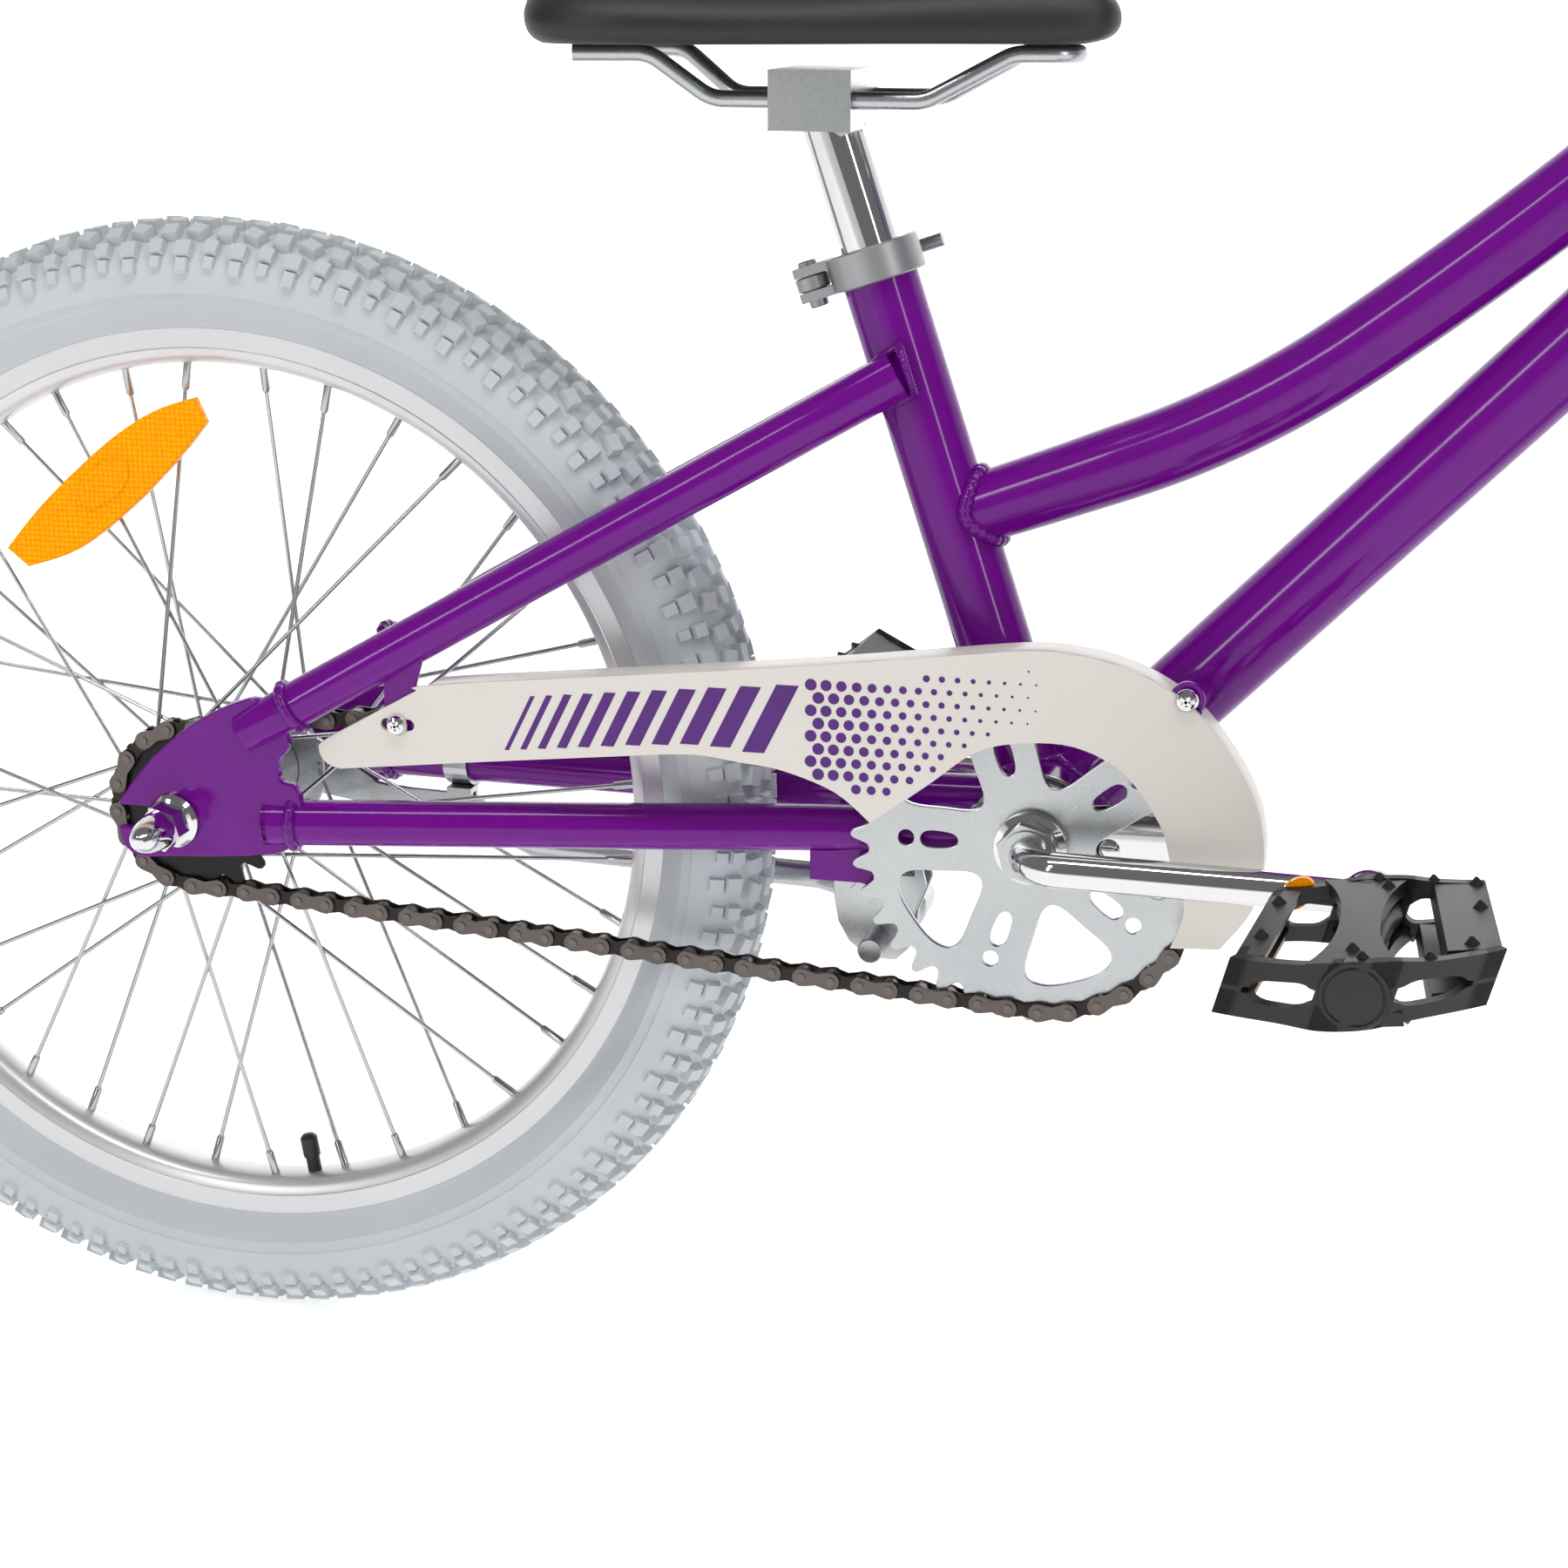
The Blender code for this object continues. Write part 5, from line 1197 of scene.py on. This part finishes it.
ARM = [(-12, 7), (-7, 12), (0, 14), (8, 12.5), (20, 8), (45, -6), (55, -11), (98, -13), (102, -18)]
ARM += [(98, -23), (50, -21), (20, -17), (0, -14), (-8, -12), (-13, -5)]
with piece("brake_arm_plate", ZINC, "frame", "zinc_steel", "brake_arm") as work:
    plate(work, curve_through(ARM, 3, True), 3.0, 47.5, [ring(5.05, 30)], 0.5)
frame["nodes"]["brake_arm_strap"].data.materials[0] = ZINC
PIVOT = rear(303, 0, -48)
CHEEK = [(283, -14.4), (322, -14.4), (324, -22), (318, -38), (317, -51), (311, -57), (299, -57)]
CHEEK += [(290, -50), (285, -41), (283, -28)]
pressing = "kickstand_bracket_pressing"
with piece(pressing, ZINC, "frame", "zinc_steel", "kickstand_bracket") as work:
    for side, _ in SIDES:
        plate(work, CHEEK, 3.0, side * 7.5, (), 0.5)
        bar(work, rear(296, side * 10.2, -27), -1.4, 1.4, 5.4, 6)
    box(work, (36, 18, 4), rear(301, 0, -16.4))
    lathe(work, drum(0, 5.5, 58, -26, (0.5, 0.6)), PIVOT, ACROSS, 40)
    lathe(work, drum(5.5, 9, 36.3, 9.2, (0.5, 0.8)), PIVOT, ACROSS, 40)
LEG = [(-8, 48, 0), (-40, 52, 7), (-177, 53, 11), (-195, 53, 19)]
with piece("kickstand_rod", ZINC, "kickstand", "zinc_steel", "kickstand_leg") as work:
    lathe(work, drum(5.9, 12, 57, 37, (0.6, 0.6)), PIVOT, ACROSS, 48)
    sweep(work, rounded([PIVOT + Vector(at) * MM for at in LEG], 15, 8), 6, 32)
print("kickstand turns about", [round(c, 4) for c in PIVOT])

# %% Spoke reflector
LENS_LOW = [(-87, 99), (-62, 108), (-35, 128), (-12, 150), (3, 167)]
LENS_HIGH = [(-2, 178), (-18, 173), (-33, 165), (-51, 152), (-78, 128), (-97, 107)]
OVAL_AT, OVAL_LONG, OVAL_WIDE, OVAL_TURN = (-47, 139), 15, 8, math.radians(39)
tilt = Matrix.Rotation(OVAL_TURN, 2)
spots = [tilt @ Vector((OVAL_LONG * x, OVAL_WIDE * z)) for x, z in ring(1.0, 36)]
with piece("spoke_reflector_lens", AMBER, "rear_wheel", "reflector", "rear_reflector") as work:
    plate(work, curve_through(LENS_LOW, 4) + curve_through(LENS_HIGH, 4), 6.0, -15.4, (), 0.9)
    plate(work, [spot + Vector(OVAL_AT) for spot in spots], 1.6, -18.6)
print("spoke reflector")

# %% [markdown]
# ## Seat
# A cast clamp with a barrel nut holds the post. The saddle is foam under a
# stretched cover, so it is a soft subdivision surface.

# %% Seat clamp and lever
CLAMP = up_seat(237.5)
CAST = Matrix((SEAT_BACK, ACROSS, SEAT_AXIS)).transposed().to_4x4()
BARREL = along(CLAMP, SEAT_BACK, 27.8)
with piece("seat_clamp_casting", BLASTED, "frame", "rim_alloy", "seat_clamp") as work:
    lathe(work, drum(16.2, 19.8, 14.5, 0, (0.6, 0.6)), CLAMP, SEAT_AXIS, 64)
    lathe(work, drum(0, 4, 16.5, -3, (0.6, 0.6)), BARREL, SEAT_AXIS, 32)
    for height in (2, 12.5):
        lug = along(along(CLAMP, SEAT_BACK, 25.8), SEAT_AXIS, height)
        box(work, (15, 13, 4), lug, CAST)
middle = along(BARREL, SEAT_AXIS, 7.25)
handle = [offset(along(middle, SEAT_BACK, -ahead), y) for ahead, y in ((0, 5), (4, 25), (52, 26))]
with piece("clamp_lever_handle", BLASTED, "clamp_lever", "rim_alloy", "seat_clamp_lever") as work:
    lathe(work, drum(4.4, 7, 10.2, 4.3, (0.5, 0.5)), BARREL, SEAT_AXIS, 40)
    sweep(work, rounded(handle, 10, 8), 2.9, 24)
print("clamp at", [round(c, 4) for c in CLAMP])


# %% Post and rails
def both_sides(points):
    """A line in space and its image on the bicycle's other side."""
    return points + [Vector((p.x, -p.y, p.z)) for p in reversed(points)]


SADDLE = up_seat(314)
with piece("seat_post_tube", CHROME, "seat", "chrome", "seat_post") as work:
    lathe(work, drum(0, 12.7, 314, 142, (0.7, 1)), SHELL, SEAT_AXIS, 64)
HALF_RAIL = [(-96, -33, 18.2), (-66, -27, 18.2), (-42, -20, 0), (46, -20, 0), (80, -12, 18.2)]
HALF_RAIL += [(104, -10, 18.2)]
rails = [SADDLE + Vector(at) * MM for at in HALF_RAIL]
with piece("saddle_rail_wire", ZINC, "seat", "zinc_steel", "saddle_rails", sharp=40) as work:
    sweep(work, rounded(both_sides(rails), 16, 6), 3.5, 20)
frame["nodes"]["saddle_clamp"].data.materials[0] = ZINC
print("saddle stands at", [round(c, 4) for c in SADDLE])

# %% Saddle
# Each station: x, half its width, its top and its skirt.
STATIONS = [(-118, 46, 46, 24), (-100, 72, 55, 17), (-60, 77, 54, 16), (-10, 54, 48, 17)]
STATIONS += [(40, 31, 47, 18), (92, 24, 48, 19), (122, 15, 42, 22)]
BASE = SADDLE.z + 22.2 * MM


def saddle_ring(half, top, low):
    side = 0.55 * low + 0.45 * top
    right = [(0, top), (0.62 * half, top - 1), (half, side), (0.86 * half, low), (0, low + 2)]
    return right + [(-y, z) for y, z in reversed(right[1:4])]


work = bmesh.new()
rows = []
for x, *sizes in STATIONS:
    spots = [SADDLE + Vector((x, y, z)) * MM for y, z in saddle_ring(*sizes)]
    rows.append([work.verts.new(spot) for spot in spots])
skin(work, rows)
cage = new_piece("saddle cage", work, COVER)
soft = cage.modifiers.new("soft", "SUBSURF")
soft.levels = soft.render_levels = 4
work = bmesh.new()
work.from_mesh(baked(cage))
everything = work.verts[:] + work.edges[:] + work.faces[:]
bmesh.ops.bisect_plane(work, geom=everything, plane_co=(0, 0, BASE), plane_no=(0, 0, -1),
                       clear_outer=True)
bmesh.ops.holes_fill(work, edges=[e for e in work.edges if e.is_boundary])
cushion = new_piece("saddle_cushion", work, COVER, 50)
wear(cushion, "seat", "saddle_cover", "saddle")
print("saddle")

# %% [markdown]
# ## Fork and handlebar
# The fork's blades taper and curve forward to the axle. The high-rise bar has a
# crossbar and plain rubber grips with a rounded collar.

# %% Fork
HUB_UP, RAKE = [(FRONT - HEAD).dot(axis) / MM for axis in (HEAD_AXIS, HEAD_AHEAD)]
CROWN_UP = -53.7
TILT = Matrix.Rotation(HEAD_ANGLE - math.pi / 2, 4, "Y")
STEERER = [(0, 116.7), (11.8, 116.7), (12.7, 115.8), (12.7, -44), (0, -44)]
with piece("fork_crown", PAINT, "steering", "frame_paint", "fork_steerer") as work:
    box(work, (36, 76, 28), up_head(CROWN_UP), TILT)
    for side, _ in SIDES:
        shoulder = up_head(CROWN_UP, 0, side * 38)
        lathe(work, drum(0, 18, 14, -14, (1.4, 1.4)), shoulder, HEAD_AXIS, 56)
    lathe(work, STEERER, HEAD, HEAD_AXIS, 56)
# Each place on a blade: up the steering axis, ahead of it, y, and its thickness.
BLADE = [(-68, 0, 44, 1), (-158, 0, 44, 1), (HUB_UP + 130, 0.05 * RAKE, 47, 0.9)]
BLADE += [(HUB_UP + 85, 0.22 * RAKE, 49, 0.82), (HUB_UP + 45, 0.52 * RAKE, 51, 0.74)]
BLADE = curve_through(BLADE + [(HUB_UP + 10, 0.9 * RAKE, 52, 0.5)], 6)
for side, word in SIDES:
    line = [up_head(up, ahead, side * y) for up, ahead, y, _ in BLADE]
    name, node = "fork_blade_tube_" + word, "fork_blade_" + word
    with piece(name, PAINT, "steering", "frame_paint", node, sharp=40) as work:
        sweep(work, line, 12, 40, [scale for *_, scale in BLADE])
        plate(work, ring(15, 56), 5.0, side * 52, [ring(5.05, 30)], 0.7, FRONT)
print("fork rake", round(RAKE, 1), "mm")

# %% Stem, bar and grips
BAR_UP, BAR_AHEAD = 94.7, 46
BAR_CLAMP = up_head(BAR_UP, BAR_AHEAD)
with piece("stem_casting", BLASTED, "steering", "rim_alloy", "stem") as work:
    lathe(work, drum(13, 17.5, 113.7, 75.7, (0.9, 0.9)), HEAD, HEAD_AXIS, 56)
    lathe(work, drum(11.4, 17, 24, -24, (0.8, 0.8)), BAR_CLAMP, ACROSS, 56)
    sweep(work, [up_head(BAR_UP, ahead) for ahead in (14, 20, 32)], 13, 40)
    for y in (-14, 14):
        sweep(work, [offset(along(BAR_CLAMP, HEAD_AHEAD, at), y) for at in (15, 19)], 4, 6)
HALF_BAR = [(-285, 172, -62), (-165, 160, -12), (-62, 0, 0)]
corners = both_sides([up_head(BAR_UP + up, BAR_AHEAD + ahead, y) for y, up, ahead in HALF_BAR])
with piece("handlebar_tube", CHROME, "steering", "chrome", "handlebar", sharp=40) as work:
    sweep(work, rounded(corners, 55, 12), 11.1, 40)
brace = both_sides([corners[2].lerp(corners[1], 0.64)])
with piece("crossbar_tube", CHROME, "steering", "chrome", "handlebar_crossbar", sharp=40) as work:
    sweep(work, brace, 8, 32)
SLEEVE = [(0, -5), (13.5, -5), (15.2, -3.6), (15.5, -2), (15.5, 1), (14.6, 2)]
for at in range(4, 64, 4):
    SLEEVE += [(14.2, at), (15.3, at + 0.8), (15.3, at + 2.4), (14.2, at + 3.2)]
SLEEVE += [(14.4, 66), (15.5, 67), (15.5, 71), (15, 72), (11.4, 72), (11.4, -0.3), (0, -0.3)]
for (_, word), (end, bend) in zip(SIDES, (corners[:2], corners[:-3:-1])):
    name = "rubber_grip_" + word
    with piece(name, GRIP, "steering", "grip_rubber", "grip_" + word) as work:
        lathe(work, SLEEVE, end, (bend - end).normalized(), 48)
print("fork and handlebar")

# %% [markdown]
# ## Studio
# A long lens stands a little above the drive side. Pale paper and large soft
# lights keep the shadows thin and give the tubes their long highlights.

# %% Camera
eye = bpy.data.cameras.new("long lens")
eye.lens = 66.87
eye.sensor_width = 36
camera = linked("long lens", eye)
camera.location = REAR + Vector((0.5561, -1.1817, 0.3657))
camera.rotation_euler = (math.radians(90 - 15.99), 0, math.radians(14.13))
bpy.context.scene.camera = camera
print("lens", round(eye.lens, 2), "mm")


# %% Floor and lights
def paper(name, corners):
    """One flat sheet of the studio's paper."""
    mesh = bpy.data.meshes.new(name)
    mesh.from_pydata(corners, [], [(0, 1, 2, 3)])
    mesh.materials.append(PAPER)
    return linked(name, mesh)


PAPER = finish("pale studio paper", "#FFFFFF", "#FDFDFD", 0, 0.8, 0.03, 3.0, 0.01, 0.1)
glow = PAPER.node_tree.nodes["Principled BSDF"].inputs
glow["Emission Color"].default_value = (1.0, 0.99, 0.99, 1)
glow["Emission Strength"].default_value = 0.5
FAR, BACK, HIGH = 14, 5, 7
fold = [(-FAR, BACK, 0), (FAR, BACK, 0)]
floor = paper("pale floor", [(-FAR, -FAR, 0), (FAR, -FAR, 0)] + fold[::-1])
wall = paper("pale wall", fold + [(FAR, BACK, HIGH), (-FAR, BACK, HIGH)])


def soft_light(name, at, aim, size, power):
    """A rectangular bank of light, turned towards a point."""
    data = bpy.data.lights.new(name, "AREA")
    data.shape = "RECTANGLE"
    data.size, data.size_y = size
    data.energy = power
    lamp = linked(name, data)
    lamp.location = at
    lamp.rotation_euler = (Vector(at) - Vector(aim)).to_track_quat("Z", "Y").to_euler()


soft_light("overhead bank", (0.1, -0.7, 2.3), (0, 0, 0.3), (2.6, 0.3), 26)
soft_light("side bank", (-1.5, -2.2, 1.4), (-0.1, 0, 0.35), (0.22, 1.6), 13.5)
soft_light("front bank", (2.0, -1.8, 1.2), (0, 0, 0.35), (0.2, 1.6), 11.5)
soft_light("wall wash", (0, 2.6, 3.2), (0, 5, 1.2), (5.0, 0.6), 120)
world = bpy.data.worlds.new("white studio")
world.use_nodes = True
sky = world.node_tree.nodes["Background"].inputs
sky["Color"].default_value = (1, 1, 1, 1)
sky["Strength"].default_value = 0.19
bpy.context.scene.world = world
bpy.context.scene.view_settings.view_transform = "Standard"
print("studio set")
